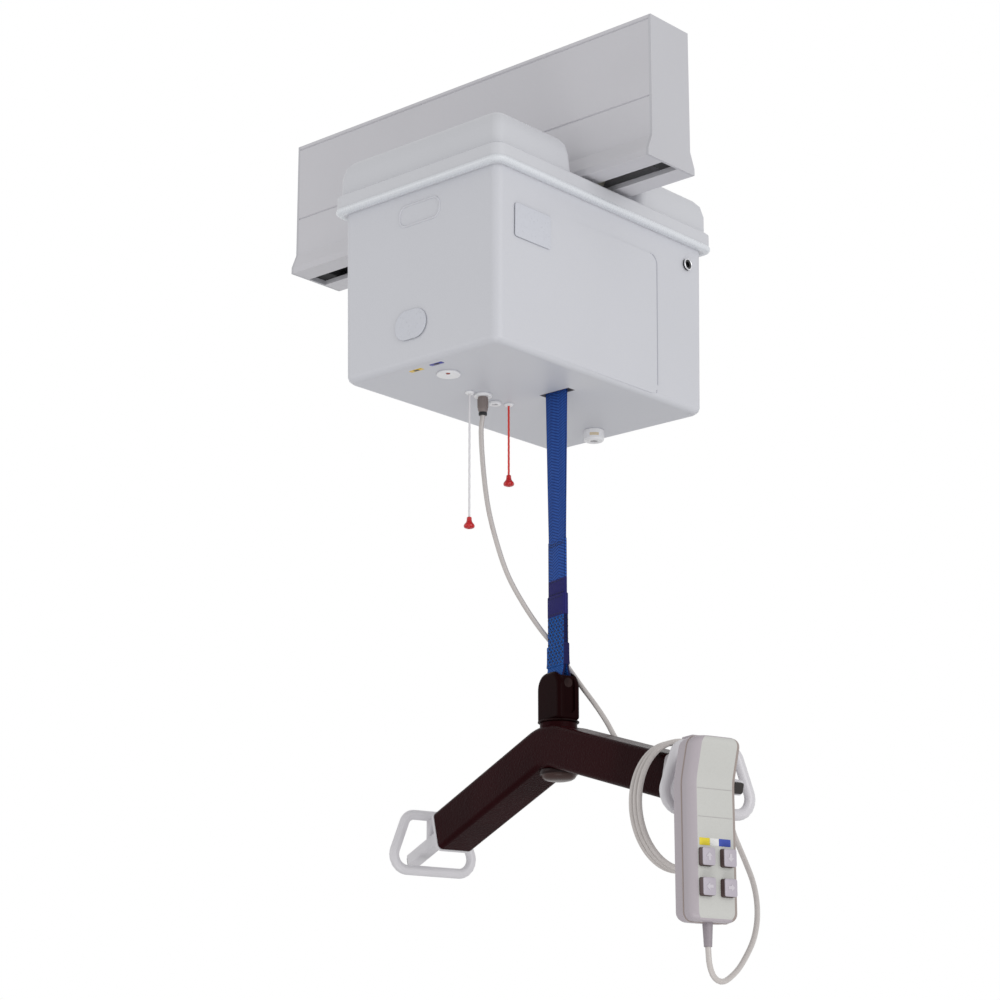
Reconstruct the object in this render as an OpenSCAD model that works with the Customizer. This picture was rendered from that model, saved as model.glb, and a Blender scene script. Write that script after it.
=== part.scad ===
// Ceiling track hoist: a lifting unit that rolls inside a ceiling rail, with a webbing
// strap, a swivelling spreader bar with two sling hooks, and a handset on a cable.
// Millimetres. The origin is the middle of the rail's top face, +Z is up and +X runs
// along the rail, towards the end that carries the charging socket.

/* [Rail] */
// Length of the rail
rail_l = 490; // [480:10:900]
// Height of the rail section
rail_h = 151; // [146:1:180]
// Width of the rail above the flare
rail_w = 60; // [58:1:72]
// Width of the rail's foot
rail_foot_w = 73; // [70:1:90]
// Wall of the rail section
rail_wall = 3.5; // [2.5:0.5:4]
// Thickness of the rail's top wall
rail_top_t = 5; // [4:0.5:8]
// Thickness of the two running lips
lip_t = 5; // [4:0.5:6]
// Width of the slot between the lips
slot_w = 24; // [20:1:26]
// Height of the flared part of the wall
flare_h = 16; // [10:1:18]
// Height of the straight foot below the flare
foot_h = 7; // [6:1:9]
// Depth of the inner web below the rail's top
web_drop = 86; // [70:1:90]
// Spacing of the ceiling bolts along the rail
bolt_dx = 360; // [200:10:420]
// Spacing of the ceiling bolts across the rail
bolt_dy = 30; // [20:1:36]
// Diameter of the ceiling bolt holes
bolt_hole_d = 9; // [6:0.5:11]
// Thickness of the rail's end caps
cap_t = 3; // [2:0.5:6]
// Length of each end stop
stop_l = 20; // [12:1:30]
// Length of each rubber buffer
buffer_l = 8; // [4:1:14]

/* [Trolley] */
// Resting place of the lifting unit along the rail
rest_x = 60; // [-20:5:65]
// Diameter of a trolley wheel
wheel_d = 44; // [36:1:46]
// Width of a trolley wheel
wheel_w = 13; // [9:0.5:14]
// Distance between the two wheel axles
wheel_base = 130; // [110:2:150]
// Diameter of a wheel axle
axle_d = 12; // [8:1:14]
// Width of the trolley frame
trolley_w = 18; // [14:1:20]
// Height of the trolley frame
trolley_h = 26; // [20:1:30]
// Distance between the two hanger bolts
hanger_pitch = 76; // [66:2:84]
// Diameter of a hanger bolt
hanger_d = 10; // [8:1:12]
// Diameter of the traverse drive roller
roller_d = 36; // [30:1:38]

/* [Lifting unit] */
// Length of the casing along the rail
body_l = 202; // [200:1:230]
// Width of the casing across the rail
body_w = 316; // [308:2:340]
// Height of the casing below its cover
body_h = 177; // [172:1:190]
// Outward draft of the casing over its height
draft = 2; // [1:0.5:4]
// Rounding of the casing's lower edge
edge_r = 7; // [5:1:12]
// Wall of the casing and cover
wall = 3; // [2:0.5:4]
// Overhang of the cover's rim
rim_over = 8; // [5:1:12]
// Height of the cover's rim band
rim_h = 20; // [18:1:26]
// Height of the two lobes above the rim
lobe_h = 35; // [28:1:38]
// Width of the notch that the rail runs through
notch_w = 104; // [100:2:116]
// Gap between the rail's foot and the cover
rail_gap = 4; // [3:0.5:8]

/* [Lift] */
// Width of the lifting strap
strap_w = 30; // [24:1:34]
// Thickness of the lifting strap
strap_t = 2.2; // [1.6:0.1:3]
// Strap's place along the rail, from the middle of the casing
strap_x = 36.5; // [35:0.5:38]
// Strap's place across the rail
strap_y = 2.5; // [0:0.5:6]
// Height of the drum's axis above the underside
drum_z = 75; // [70:1:84]
// Radius of the wound strap
wound_r = 40; // [34:1:42]
// Diameter of the drum shaft
shaft_d = 15; // [12:1:18]
// Teeth of the drum gear
drum_teeth = 44; // [40:2:46]
// Teeth of the motor pinion
pinion_teeth = 18; // [17:1:20]
// Gear module
gear_m = 2; // [1.8:0.1:2.1]
// Diameter of the lift motor
motor_d = 54; // [46:1:58]
// Drop from the underside to the spreader bar's axis
bar_drop = 353; // [340:1:400]

/* [Spreader bar] */
// Outer size of the square tube
tube = 40; // [36:1:44]
// Wall of the square tube
tube_wall = 3; // [2:0.5:4]
// Length of each arm along its axis
arm_l = 209; // [206:1:240]
// Droop of each arm in degrees
droop = 16.5; // [14:0.5:19]
// Turn of the bar about the swivel, in degrees from the rail
bar_yaw = -17; // [-21:1:-13]
// Diameter of the swivel stud
stud_d = 16; // [12:1:18]
// Length of the yoke along the bar
yoke_l = 40; // [39:1:46]
// Width of the yoke across the bar
yoke_w = 25; // [24:1:30]
// Diameter of the yoke's pin
yoke_pin_d = 10; // [8:0.5:11]
// Distance of each hook ring from the swivel axis
ring_u = 240; // [236:1:250]
// Rod size of a hook ring
ring_rod = 9; // [7:0.5:11]
// Half width of a hook ring at its top
ring_top = 36; // [32:1:40]
// Half width of a hook ring at its foot
ring_foot = 57; // [52:1:62]

/* [Handset] */
// Width of the handset
hs_w = 50; // [46:1:60]
// Height of the handset
hs_h = 155; // [148:1:175]
// Thickness of the handset
hs_t = 28; // [26:0.5:34]
// Shell of the handset
hs_wall = 2.5; // [1.5:0.5:3]
// Travel of a key
key_travel = 2; // [1:0.5:3]
// Diameter of the handset cable
cable_d = 5; // [4:0.5:6]

/* [Hidden] */

// Fits shared by the pieces
$fn = 48;
run_gap = 0.3;
fit = 0.05;
loose = 0.5;
seam = 0.2;

// Heights: base_z is the casing's underside, bar_z the spreader bar's axis at its bend
ledge = body_h + rim_h;
base_z = -rail_h - rail_gap - ledge;
bar_z = base_z - bar_drop;

// Rail chamber and trolley
lip_z = -rail_h + lip_t;
axle_z = lip_z + wheel_d / 2 + run_gap;
flare_z = -rail_h + foot_h + flare_h;
chamber_w = rail_w - 2 * rail_wall;
stop_w = chamber_w - 2;
stop_h = 34;
wheel_gap = 1.5;
axle_l = chamber_w - 2;
trolley_l = wheel_base + 34;
nut_t = 7;
spacer_d = hanger_d + 7;

// Chassis inside the casing, heights above the underside
chassis_t = 5;
chassis_l = body_l - 26;
chassis_y = [-60, 64];
post_d = 9;
post_at = [body_l / 2 - 23, 44];
plate_t = 6;
plate_y = [-128, 22];
plate_foot = 24;
rod_d = 8;
rod_in = 8;
bearing_w = 9;
bearing_d = shaft_d + 17;

chassis_share = 0.572;
drum_top = drum_z + wound_r + 6;
roller_foot = ledge + rail_gap - run_gap - roller_d;
chassis_z = drum_top + chassis_share * (roller_foot - drum_top);

// Drum train: the strap leaves the winding on its +Y side
drum_y = strap_y - strap_t / 2 - run_gap - wound_r;
core_r = 18;
flange_t = 3;
flange_r = wound_r + 6;
spool_gap = 0.8;
spool_l = strap_w + 2 * spool_gap;
gear_w = 10;
gear_x = strap_x - spool_l / 2 - flange_t - gear_w - 1;
plate_x = [gear_x - 3 - plate_t, strap_x + spool_l / 2 + flange_t + 3];
pinion_x = gear_x - 1;
pinion_w = gear_w + 2;
backlash = 0.25;
centres = gear_m * (drum_teeth + pinion_teeth) / 2;
pinion_y = drum_y - centres;
pinion_d = 10;
gearbox_l = 30;
gearbox_share = 0.573;
gearbox_d = 2 * gearbox_share * (body_w / 2 - wall + pinion_y);
motor_end = 10.7;
motor_l = body_l / 2 + plate_x[0] - gearbox_l - wall - motor_end;
gear_hole_d = 12;

// Traverse drive: a tyred roller pressed up against the rail's lips
roller_z = ledge + rail_gap - run_gap - roller_d / 2;
roller_l = rail_foot_w - 5;
roller_shaft_d = 10;
ear_t = 4;
ear_y = roller_l / 2 + 3;
traverse_d = 32;
traverse_y = 60;
traverse_l = 60;
bracket_w = 24;
bracket_over = 11;

// Batteries and board on the +Y side
tray_y = [66, body_w / 2 - 22];
tray_z = 8;
tray_t = 3;
battery = [(body_l - 58) / 2, tray_y[1] - tray_y[0] - 10, 88];
battery_x = battery[0] / 2 + 6;
battery_y = (tray_y[0] + tray_y[1]) / 2;
clamp_t = 2;
board_lift = 10;
board = [body_l - 72, battery[1] - 4, 1.6];
relay = [board[0] / 7, board[1] / 3.5, 15];
sink = [board[0] / 4, board[1] / 1.3, 12];
can = [10, 14];

// Cover lobes and screws
lobe_in = 4;
lobe_slope = 5;
lobe_round = 7;
rim_l = body_l + 2 * draft + 2 * rim_over;
rim_w = body_w + 2 * draft + 2 * rim_over;
corner_r = 9;
slice = 0.2;
screw_at = [body_l / 2 - 17, body_w / 2 - 17];
screw_d = 4;
screw_head_d = 8;
pillar_d = 12;
screw_bite = 18;

// Fittings on the underside, from the middle of the casing
plug_at = [-20, -44];
spare_at = [-28, -17];
white_at = [-24.6, -58.5];
red_at = [-22, -3];
gland_at = [-16, body_w / 2 - 34];
disc_at = [0, -body_w / 2 + 42];
socket_d = 13;
plug_d = 10;
plug_l = 16;
collar_l = 3;
socket_t = 3;
spare_d = 9;
pull_d = 2.2;
white_l = 129;
red_l = 75;
acorn_d = 11;
acorn_h = 11;
bush_d = 7;
switch_size = [20, 14, 26];
pull_top = 16;
slot_size = [strap_w + 8, 11];
slot_at = [strap_x + 2, strap_y - 1.2];
guide_wall = 1;
disc_d = 23;
disc_t = 2.5;
gland_d = 21;
gland_h = 12;
gland_hole_d = 8;
badge_t = 1.2;
side_badge_at = [-10, 41];
side_badge_size = [41, 30];
end_badge_at = [-body_w / 2 + 48, body_h - 50];
end_badge_size = [52, 34];
charge_at = [body_w / 2 - 26, body_h - 21];
charge_d = 12;
panel_y = [-body_w / 2 + 12, body_w / 2 - 76];
panel_z = [4, body_h - 26];
panel_t = 1.2;
badge_lift = panel_t * (end_badge_at[0] + end_badge_size[0] / 2 - panel_y[0]) / (panel_y[1] - panel_y[0]);

// Strap below the casing, heights above the bar's axis
loop_top = 127;
pin_z = 58;
loop_t = 5;
yoke_foot = 22;
yoke_top = 71;
yoke_wall = 4;
yoke_arch = 12;
disc_r = 20;
base_t = 6;
boss_r = 18;
boss_foot = -24;
washer_t = 1;
nut_af = 22;
swivel_nut_t = 6;
cap_r = 18.5;
cap_wall = 2;

// Hooks
plug_in = 30;
flange_l = 4;
tongue = [91, 14, 13];
tongue_up = 4;
ring_z = [-100, -33];
ring_bar = 15;
ring_r = 14;

// Handset, hung on the right ring's top bar
hs_v = -tongue[1] / 2 - hs_w / 2 - 1;
hs_u = ring_u + 27;
hs_z = -196;
hs_bend = 118;
hs_lean = 11;
hs_split = 15;
hs_round = 8;
hs_cut = 6.5;
hs_cut_in = hs_cut - (2 - sqrt(2)) * hs_wall;
key = [13, 15];
key_v = 11;
key_z = [53, 28];
key_out = 6;
key_gap = 0.3;
pcb_t = 1.6;
pcb_x = 8;
hook_lip = 3;
hook_w = 12;
hook_v = 18;
relief_l = 20;
relief_d = 9;

// Cable route in the bar's frame: hand-chosen points, except the two ends and the loops
loop_v = 47;
loop_h = 56.5;
loop_z = -84;
loop_u = 188;
loop_pitch = 6;
loops = 3;
drop_points = [[-42, -62, 314], [-41, -60, 276], [-38, -56, 236], [-34, -48, 199], [-30, -38, 168],
    [-25, -24, 141], [-21, -8, 118], [-17, 6, 101]];
join_drop = [-9, 10, 88];
mid_points = [[0, 14, 74], [14, 19, 55]];
join_mid = [31, 23, 35];
run_points = [[44, 26, 18], [58, 27, 0], [78, 27, -18], [100, 27, -32], [122, 28, -43], [142, 31, -51],
    [158, 36, -57], [171, 41, -63], [181, 45, -70], [186, 46.8, -77]];
tail_points = [[208.5, 49.5, -104], [214, 52.5, -120], [222, 54, -136], [231, 53.5, -152], [240, 50, -169],
    [249, 43, -187], [256, 33.5, -204], [262, 21, -219], [268, 6, -233], [274, -12, -243],
    [278.5, -25, -241], [280.7, -31.5, -231]];

// Frames of the lifting unit, the bar at rest, one arm, and the handset
module at_unit() translate([rest_x, 0, base_z]) children();
module at_bar() translate([rest_x + strap_x, strap_y, bar_z]) rotate([0, 0, bar_yaw]) children();
module at_arm() rotate([0, droop, 0]) children();
module at_handset() at_bar() translate([hs_u, hs_v, hs_z]) children();
module along_x(x0, x1, d, at) translate([x0, at[0], at[1]]) rotate([0, 90, 0]) cylinder(h = x1 - x0, d = d);
module along_y(y0, y1, d, at) translate([at[0], y0, at[1]]) rotate([-90, 0, 0]) cylinder(h = y1 - y0,
    d = d);
module upright(z0, z1, d, at = [0, 0]) translate([at[0], at[1], z0]) cylinder(h = z1 - z0, d = d);

// A place in the lifting unit's frame, seen from the bar's frame
function in_bar(p) = let (dx = p[0] - strap_x, dy = p[1] - strap_y)
    [dx * cos(bar_yaw) + dy * sin(bar_yaw), dy * cos(bar_yaw) - dx * sin(bar_yaw), p[2] + bar_drop];

// Outline helpers
function unit(v) = v / norm(v);
function turn(a, b) = (b - a + 540) % 360 - 180;
function corner(p, q, s, r, n) = let (a = unit(q - p), b = unit(s - p), half = acos(a * b) / 2,
    c = p + unit(a + b) * r / sin(half), e = p + a * r / tan(half) - c, f = p + b * r / tan(half) - c,
    e0 = atan2(e[1], e[0]), sweep = turn(e0, atan2(f[1], f[0])))
    [for (k = [0:n]) c + r * [cos(e0 + sweep * k / n), sin(e0 + sweep * k / n)]];
function round_poly(pts, r, n = 6) = let (m = len(pts))
    [for (i = [0:m - 1]) each corner(pts[i], pts[(i + m - 1) % m], pts[(i + 1) % m], r, n)];
function box_pts(x, y) = [[x[0], y[0]], [x[1], y[0]], [x[1], y[1]], [x[0], y[1]]];
function mid_box(l, w) = box_pts([-l / 2, l / 2], [-w / 2, w / 2]);
function polar(r, a) = r * [cos(a), sin(a)];

// Involute spur gear outline
function inv_deg(a) = tan(a) * 180 / PI - a;
function gear_pts(teeth, n = 5) = let (rp = gear_m * teeth / 2, rb = rp * cos(20), ra = rp + gear_m,
    rf = rp - 1.25 * gear_m, r0 = max(rb, rf + 0.05), rr = min(rf, r0 - 0.05),
    half = 90 / teeth - backlash / 2 / rp * 180 / PI + inv_deg(20),
    flank = [for (k = [0:n]) let (r = r0 + (ra - r0) * k / n) [r, half - inv_deg(acos(rb / r))]])
    [for (i = [0:teeth - 1]) let (c = 360 * i / teeth) each concat([polar(rr, c - flank[0][1])],
        [for (k = [0:n]) polar(flank[k][0], c - flank[k][1])],
        [for (k = [n:-1:0]) polar(flank[k][0], c + flank[k][1])], [polar(rr, c + flank[0][1])])];
module gear(teeth, w) rotate([0, 90, 0]) rotate([0, 0, 90]) linear_extrude(w) polygon(gear_pts(teeth));

// A round cord swept along a stretch of a path, its rings square to the path and its ends drawn back
function path_dir(path, i) = let (m = len(path) - 1) unit(path[min(i + 1, m)] - path[max(i - 1, 0)]);
module cord(path, from, to, d, sides, ref) {
    m = to - from + 1;
    rings = [for (i = [from:to]) let (t = path_dir(path, i), a = unit(cross(t, ref)), b = cross(t, a),
        back = i == from ? seam : i == to ? -seam : 0, p = path[i] + back * t)
        for (j = [0:sides - 1]) p + d / 2 * (cos(360 * j / sides) * a + sin(360 * j / sides) * b)];
    last = (m - 1) * sides;
    side = [for (i = [0:m - 2], j = [0:sides - 1]) let (k = (j + 1) % sides, p = i * sides, q = p + sides)
        each [[p + j, q + j, q + k], [p + j, q + k, p + k]]];
    ends = [for (j = [1:sides - 2]) each [[0, j, j + 1], [last, last + j + 1, last + j]]];
    polyhedron(rings, concat(side, ends));
}

// Rail and what closes it
module rail_outline() polygon([[rail_w / 2, 0], [rail_w / 2, flare_z], [rail_foot_w / 2, flare_z - flare_h],
    [rail_foot_w / 2, -rail_h], [-rail_foot_w / 2, -rail_h], [-rail_foot_w / 2, flare_z - flare_h],
    [-rail_w / 2, flare_z], [-rail_w / 2, 0]]);
module upper_chamber(gap = 0) polygon(box_pts([-chamber_w / 2 + gap, chamber_w / 2 - gap],
    [-web_drop + rail_wall / 2 + gap, -rail_top_t - gap]));
module lower_chamber() let (in = rail_foot_w / 2 - rail_wall, top = -web_drop - rail_wall / 2)
    polygon([[chamber_w / 2, top], [chamber_w / 2, flare_z], [in, flare_z - flare_h], [in, lip_z],
        [-in, lip_z], [-in, flare_z - flare_h], [-chamber_w / 2, flare_z], [-chamber_w / 2, top]]);
module rail_bar(l) rotate([90, 0, 90]) linear_extrude(l, center = true) children();
module rail() {
    color([0.80, 0.80, 0.82]) difference() {
        rail_bar(rail_l) rail_outline();
        rail_bar(rail_l + 2) upper_chamber();
        rail_bar(rail_l + 2) lower_chamber();
        rail_bar(rail_l + 2) translate([-slot_w / 2, -rail_h - 1]) square([slot_w, lip_t + 2]);
        for (s = [-1, 1], drop = [4, web_drop])
            rail_bar(rail_l + 2) translate([s * rail_w / 2, -drop]) circle(r = 1.2, $fn = 4);
        for (sx = [-1, 1], sy = [-1, 1])
            upright(-rail_top_t - 1, 1, bolt_hole_d, [sx * bolt_dx / 2, sy * bolt_dy / 2]);
    }
}
module rail_end_caps() {
    color([0.84, 0.84, 0.86]) for (s = [-1, 1]) {
        translate([s * (rail_l + cap_t) / 2, 0, 0]) rail_bar(cap_t) rail_outline();
        translate([s * (rail_l / 2 - 5), 0, 0]) rail_bar(10) upper_chamber(loose / 2);
    }
}
module end_stops() {
    color([0.16, 0.16, 0.17]) for (s = [-1, 1]) {
        translate([s * (rail_l - stop_l) / 2 - stop_l / 2, -stop_w / 2, lip_z]) cube([stop_l, stop_w,
            stop_h]);
        along_x(s * (rail_l / 2 - stop_l - buffer_l / 2) - buffer_l / 2,
            s * (rail_l / 2 - stop_l - buffer_l / 2) + buffer_l / 2, trolley_w, [0, axle_z]);
    }
}

// Trolley inside the rail
module trolley_frame() {
    color([0.55, 0.56, 0.58]) translate([rest_x, 0, 0]) difference() {
        translate([-trolley_l / 2, -trolley_w / 2, axle_z - trolley_h / 2]) cube([trolley_l, trolley_w,
            trolley_h]);
        for (s = [-1, 1]) along_y(-trolley_w, trolley_w, axle_d, [s * wheel_base / 2, axle_z]);
        for (s = [-1, 1])
            upright(axle_z - trolley_h, axle_z + trolley_h, hanger_d, [s * hanger_pitch / 2, 0]);
    }
}
module trolley_axles() {
    color([0.72, 0.73, 0.75]) translate([rest_x, 0, 0])
        for (s = [-1, 1]) along_y(-axle_l / 2, axle_l / 2, axle_d, [s * wheel_base / 2, axle_z]);
}
module wheel_pair(x) {
    translate([rest_x + x, 0, axle_z]) for (s = [0, 180]) rotate([0, 0, s]) rotate([-90, 0, 0])
        translate([0, 0, trolley_w / 2 + wheel_gap]) difference() {
            cylinder(h = wheel_w, d = wheel_d);
            translate([0, 0, -1]) cylinder(h = wheel_w + 2, d = axle_d + 2 * fit);
            translate([0, 0, wheel_w - 2]) difference() {
                cylinder(h = 3, d = wheel_d - 8);
                translate([0, 0, -1]) cylinder(h = 5, d = axle_d + 9);
            }
        }
}
module front_wheels() { color([0.86, 0.85, 0.80]) wheel_pair(wheel_base / 2); }
module rear_wheels() { color([0.86, 0.85, 0.80]) wheel_pair(-wheel_base / 2); }
module hanger_bolts() {
    top = axle_z + trolley_h / 2 - base_z;
    color([0.70, 0.71, 0.73]) at_unit() for (s = [-1, 1]) translate([s * hanger_pitch / 2, 0, 0]) {
        upright(chassis_z - nut_t - 6, top, hanger_d);
        translate([0, 0, top]) cylinder(h = nut_t, d = 1.9 * hanger_d, $fn = 6);
        translate([0, 0, chassis_z - nut_t]) cylinder(h = nut_t, d = 1.9 * hanger_d, $fn = 6);
        difference() {
            upright(chassis_z + chassis_t, top - trolley_h, spacer_d);
            upright(chassis_z, top, hanger_d);
        }
    }
}

// Chassis that hangs from the trolley
module chassis_plate() {
    color([0.62, 0.63, 0.65]) at_unit() difference() {
        union() {
            translate([-chassis_l / 2, chassis_y[0], chassis_z])
                cube([chassis_l, chassis_y[1] - chassis_y[0], chassis_t]);
            for (sx = [-1, 1], sy = [-1, 1])
                upright(chassis_z, ledge - wall, post_d, [sx * post_at[0], sy * post_at[1]]);
        }
        for (s = [-1, 1]) upright(chassis_z - 1, ledge, hanger_d, [s * hanger_pitch / 2, 0]);
        for (sx = [-1, 1], sy = [-1, 1])
            upright(ledge - wall - screw_bite, ledge, screw_d, [sx * post_at[0], sy * post_at[1]]);
    }
}
module rod_places() let (y = [plate_y[0] + rod_in, plate_y[1] - rod_in], z = [plate_foot + rod_in,
    chassis_z - rod_in])
    for (i = [0, 1], j = [0, 1]) translate([0, y[i], z[j]]) children();
module bearing_plates() {
    color([0.58, 0.59, 0.61]) at_unit() {
        for (x = plate_x) difference() {
            translate([x, plate_y[0], plate_foot]) cube([plate_t, plate_y[1] - plate_y[0],
                chassis_z - plate_foot]);
            along_x(x - 1, x + plate_t + 1, bearing_d, [drum_y, drum_z]);
            along_x(x - 1, x + plate_t + 1, pinion_d + 4, [pinion_y, drum_z]);
        }
        rod_places() along_x(plate_x[0] + plate_t, plate_x[1], rod_d, [0, 0]);
    }
}
module drum_bearings() {
    color([0.75, 0.75, 0.76]) at_unit() for (x = plate_x) let (x0 = x + (plate_t - bearing_w) / 2)
        difference() {
        along_x(x0, x0 + bearing_w, bearing_d, [drum_y, drum_z]);
        along_x(x0 - 1, x0 + bearing_w + 1, shaft_d + 2 * fit, [drum_y, drum_z]);
    }
}

// Drum train
module drum_shaft() {
    color([0.70, 0.70, 0.72]) at_unit()
        along_x(plate_x[0] - 3, plate_x[1] + plate_t + 3, shaft_d, [drum_y, drum_z]);
}
module drum_spool() {
    color([0.50, 0.51, 0.53]) at_unit() difference() {
        union() {
            along_x(strap_x - spool_l / 2, strap_x + spool_l / 2, 2 * core_r, [drum_y, drum_z]);
            for (s = [-1, 1]) let (x = strap_x + s * (spool_l + flange_t) / 2)
                along_x(x - flange_t / 2, x + flange_t / 2, 2 * flange_r, [drum_y, drum_z]);
        }
        along_x(0, plate_x[1], shaft_d, [drum_y, drum_z]);
    }
}
module drum_gear() {
    color([0.66, 0.60, 0.42]) at_unit() difference() {
        translate([gear_x, drum_y, drum_z]) gear(drum_teeth, gear_w);
        along_x(gear_x - 1, gear_x + gear_w + 1, shaft_d, [drum_y, drum_z]);
        for (k = [0:5]) let (p = [drum_y, drum_z] + polar(gear_m * drum_teeth / 3.4, 60 * k + 30))
            along_x(gear_x - 1, gear_x + gear_w + 1, gear_hole_d, p);
    }
}
module wound_strap() {
    color([0.13, 0.26, 0.52]) at_unit() difference() {
        along_x(strap_x - strap_w / 2, strap_x + strap_w / 2, 2 * wound_r, [drum_y, drum_z]);
        along_x(strap_x - strap_w, strap_x + strap_w, 2 * core_r, [drum_y, drum_z]);
    }
}
module pinion() {
    color([0.60, 0.60, 0.62]) at_unit() {
        translate([pinion_x, pinion_y, drum_z]) rotate([180 / pinion_teeth, 0, 0]) gear(pinion_teeth,
            pinion_w);
        along_x(plate_x[0] - 12, pinion_x + 1, pinion_d, [pinion_y, drum_z]);
    }
}
module lift_motor() {
    color([0.28, 0.29, 0.31]) at_unit() {
        difference() {
            along_x(plate_x[0] - gearbox_l, plate_x[0], gearbox_d, [pinion_y, drum_z]);
            along_x(plate_x[0] - 12 - loose, plate_x[0] + 1, pinion_d + 2 * fit, [pinion_y, drum_z]);
        }
        along_x(plate_x[0] - gearbox_l - motor_l, plate_x[0] - gearbox_l, motor_d, [pinion_y, drum_z]);
    }
}

// Traverse drive under the rail
module roller_bracket() {
    color([0.58, 0.59, 0.61]) at_unit() difference() {
        for (y = [-ear_y - ear_t, ear_y, traverse_y - ear_t]) translate([-bracket_w / 2, y,
            chassis_z + chassis_t])
            cube([bracket_w, ear_t, roller_z - chassis_z - chassis_t + bracket_over]);
        along_y(-ear_y - ear_t - 1, traverse_y + 1, roller_shaft_d + 2 * fit, [0, roller_z]);
    }
}
module drive_roller() {
    color([0.15, 0.15, 0.16]) at_unit() {
        along_y(-ear_y - ear_t - 2, traverse_y + 8, roller_shaft_d, [0, roller_z]);
        along_y(-roller_l / 2, roller_l / 2, roller_d - 10, [0, roller_z]);
        for (s = [-1, 1]) let (y = s * (roller_l + slot_w + 4) / 4, l = (roller_l - slot_w - 4) / 2)
            along_y(y - l / 2, y + l / 2, roller_d, [0, roller_z]);
    }
}
module traverse_motor() {
    color([0.28, 0.29, 0.31]) at_unit() difference() {
        along_y(traverse_y, traverse_y + traverse_l, traverse_d, [0, roller_z]);
        along_y(traverse_y - 1, traverse_y + 8 + loose, roller_shaft_d + 2 * fit, [0, roller_z]);
    }
}

// Batteries and electronics
module battery_tray() {
    clamp_z = tray_z + tray_t + battery[2];
    color([0.30, 0.31, 0.33]) at_unit() {
        translate([-battery_x - battery[0] / 2, tray_y[0], tray_z])
            cube([2 * battery_x + battery[0], tray_y[1] - tray_y[0], tray_t]);
        for (sx = [-1, 1], y = tray_y) let (in = y > battery_y ? -6 : 6)
            upright(wall, tray_z, 8, [sx * (battery_x + battery[0] / 2 - 6), y + in]);
        translate([-board[0] / 2, battery_y - board[1] / 2, clamp_z]) cube([board[0], board[1], clamp_t]);
        for (sx = [-1, 1], sy = [-1, 1]) upright(clamp_z, clamp_z + clamp_t + board_lift, 6,
            [sx * (board[0] / 2 - 5), battery_y + sy * (board[1] / 2 - 5)]);
    }
}
module batteries() {
    color([0.14, 0.14, 0.16]) at_unit() for (s = [-1, 1])
        translate([s * battery_x - battery[0] / 2, battery_y - battery[1] / 2,
            tray_z + tray_t]) cube(battery);
}
module control_board() {
    z = tray_z + tray_t + battery[2] + clamp_t + board_lift;
    color([0.10, 0.36, 0.20]) at_unit() translate([0, battery_y, z]) {
        translate([-board[0] / 2, -board[1] / 2, 0]) cube(board);
        for (k = [0:2]) translate([board[0] * (k / 5.4 - 0.385), -board[1] / 2.8, board[2]]) cube(relay);
        translate([board[0] / 5.4, -sink[1] / 2, board[2]]) cube(sink);
        for (k = [0:2]) upright(board[2], board[2] + can[1], can[0], [board[0] * (k / 6.5 - 0.31),
            board[1] / 4]);
    }
}

// Casing: a drafted tub with a rounded lower edge, open at the top
module plan_slab(l, w, r, z) translate([0, 0, z]) linear_extrude(slice) polygon(round_poly(mid_box(l,
    w), r));
module tub(grow, floor_z, top_z) hull() {
    for (a = [0:30:90]) let (in = edge_r * (1 - sin(a)) - grow)
        plan_slab(body_l - 2 * in, body_w - 2 * in, corner_r, floor_z + edge_r * (1 - cos(a)));
    plan_slab(body_l + 2 * draft + 2 * grow, body_w + 2 * draft + 2 * grow, corner_r, top_z - slice);
}
module panel_edge(y, proud) intersection() {
    tub(proud, 0, body_h);
    translate([body_l / 2 - 10, y, panel_z[0]]) cube([40, slice, panel_z[1] - panel_z[0]]);
}
module end_panel() intersection() {
    hull() {
        panel_edge(panel_y[0], -slice);
        panel_edge(panel_y[1] - slice, panel_t);
    }
    translate([body_l / 2 - 10, 0, 0]) rotate([90, 0, 90]) linear_extrude(40)
        polygon(round_poly(box_pts(panel_y, panel_z), 10));
}
module casing() {
    color([0.86, 0.86, 0.88]) at_unit() difference() {
        union() {
            difference() {
                union() {
                    tub(0, 0, body_h);
                    end_panel();
                }
                tub(-wall, wall, body_h + 1);
            }
            for (sx = [-1, 1], sy = [-1, 1])
                upright(wall - 1, body_h, pillar_d, [sx * screw_at[0], sy * screw_at[1]]);
        }
        for (sx = [-1, 1], sy = [-1, 1])
            upright(body_h - screw_bite, body_h + 1, screw_d, [sx * screw_at[0], sy * screw_at[1]]);
        translate([slot_at[0], slot_at[1], -1]) linear_extrude(wall + 2) square(slot_size, center = true);
        upright(-1, wall + 1, socket_d, plug_at);
        upright(-1, wall + 1, spare_d, spare_at);
        for (p = [white_at, red_at]) upright(-1, wall + 1, bush_d, p);
        upright(-1, wall + 1, gland_d / 2, gland_at);
        upright(-1, wall + 1, 4, disc_at);
        along_x(body_l / 2 - 8, body_l / 2 + 8, charge_d - 3, charge_at);
    }
}

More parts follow.
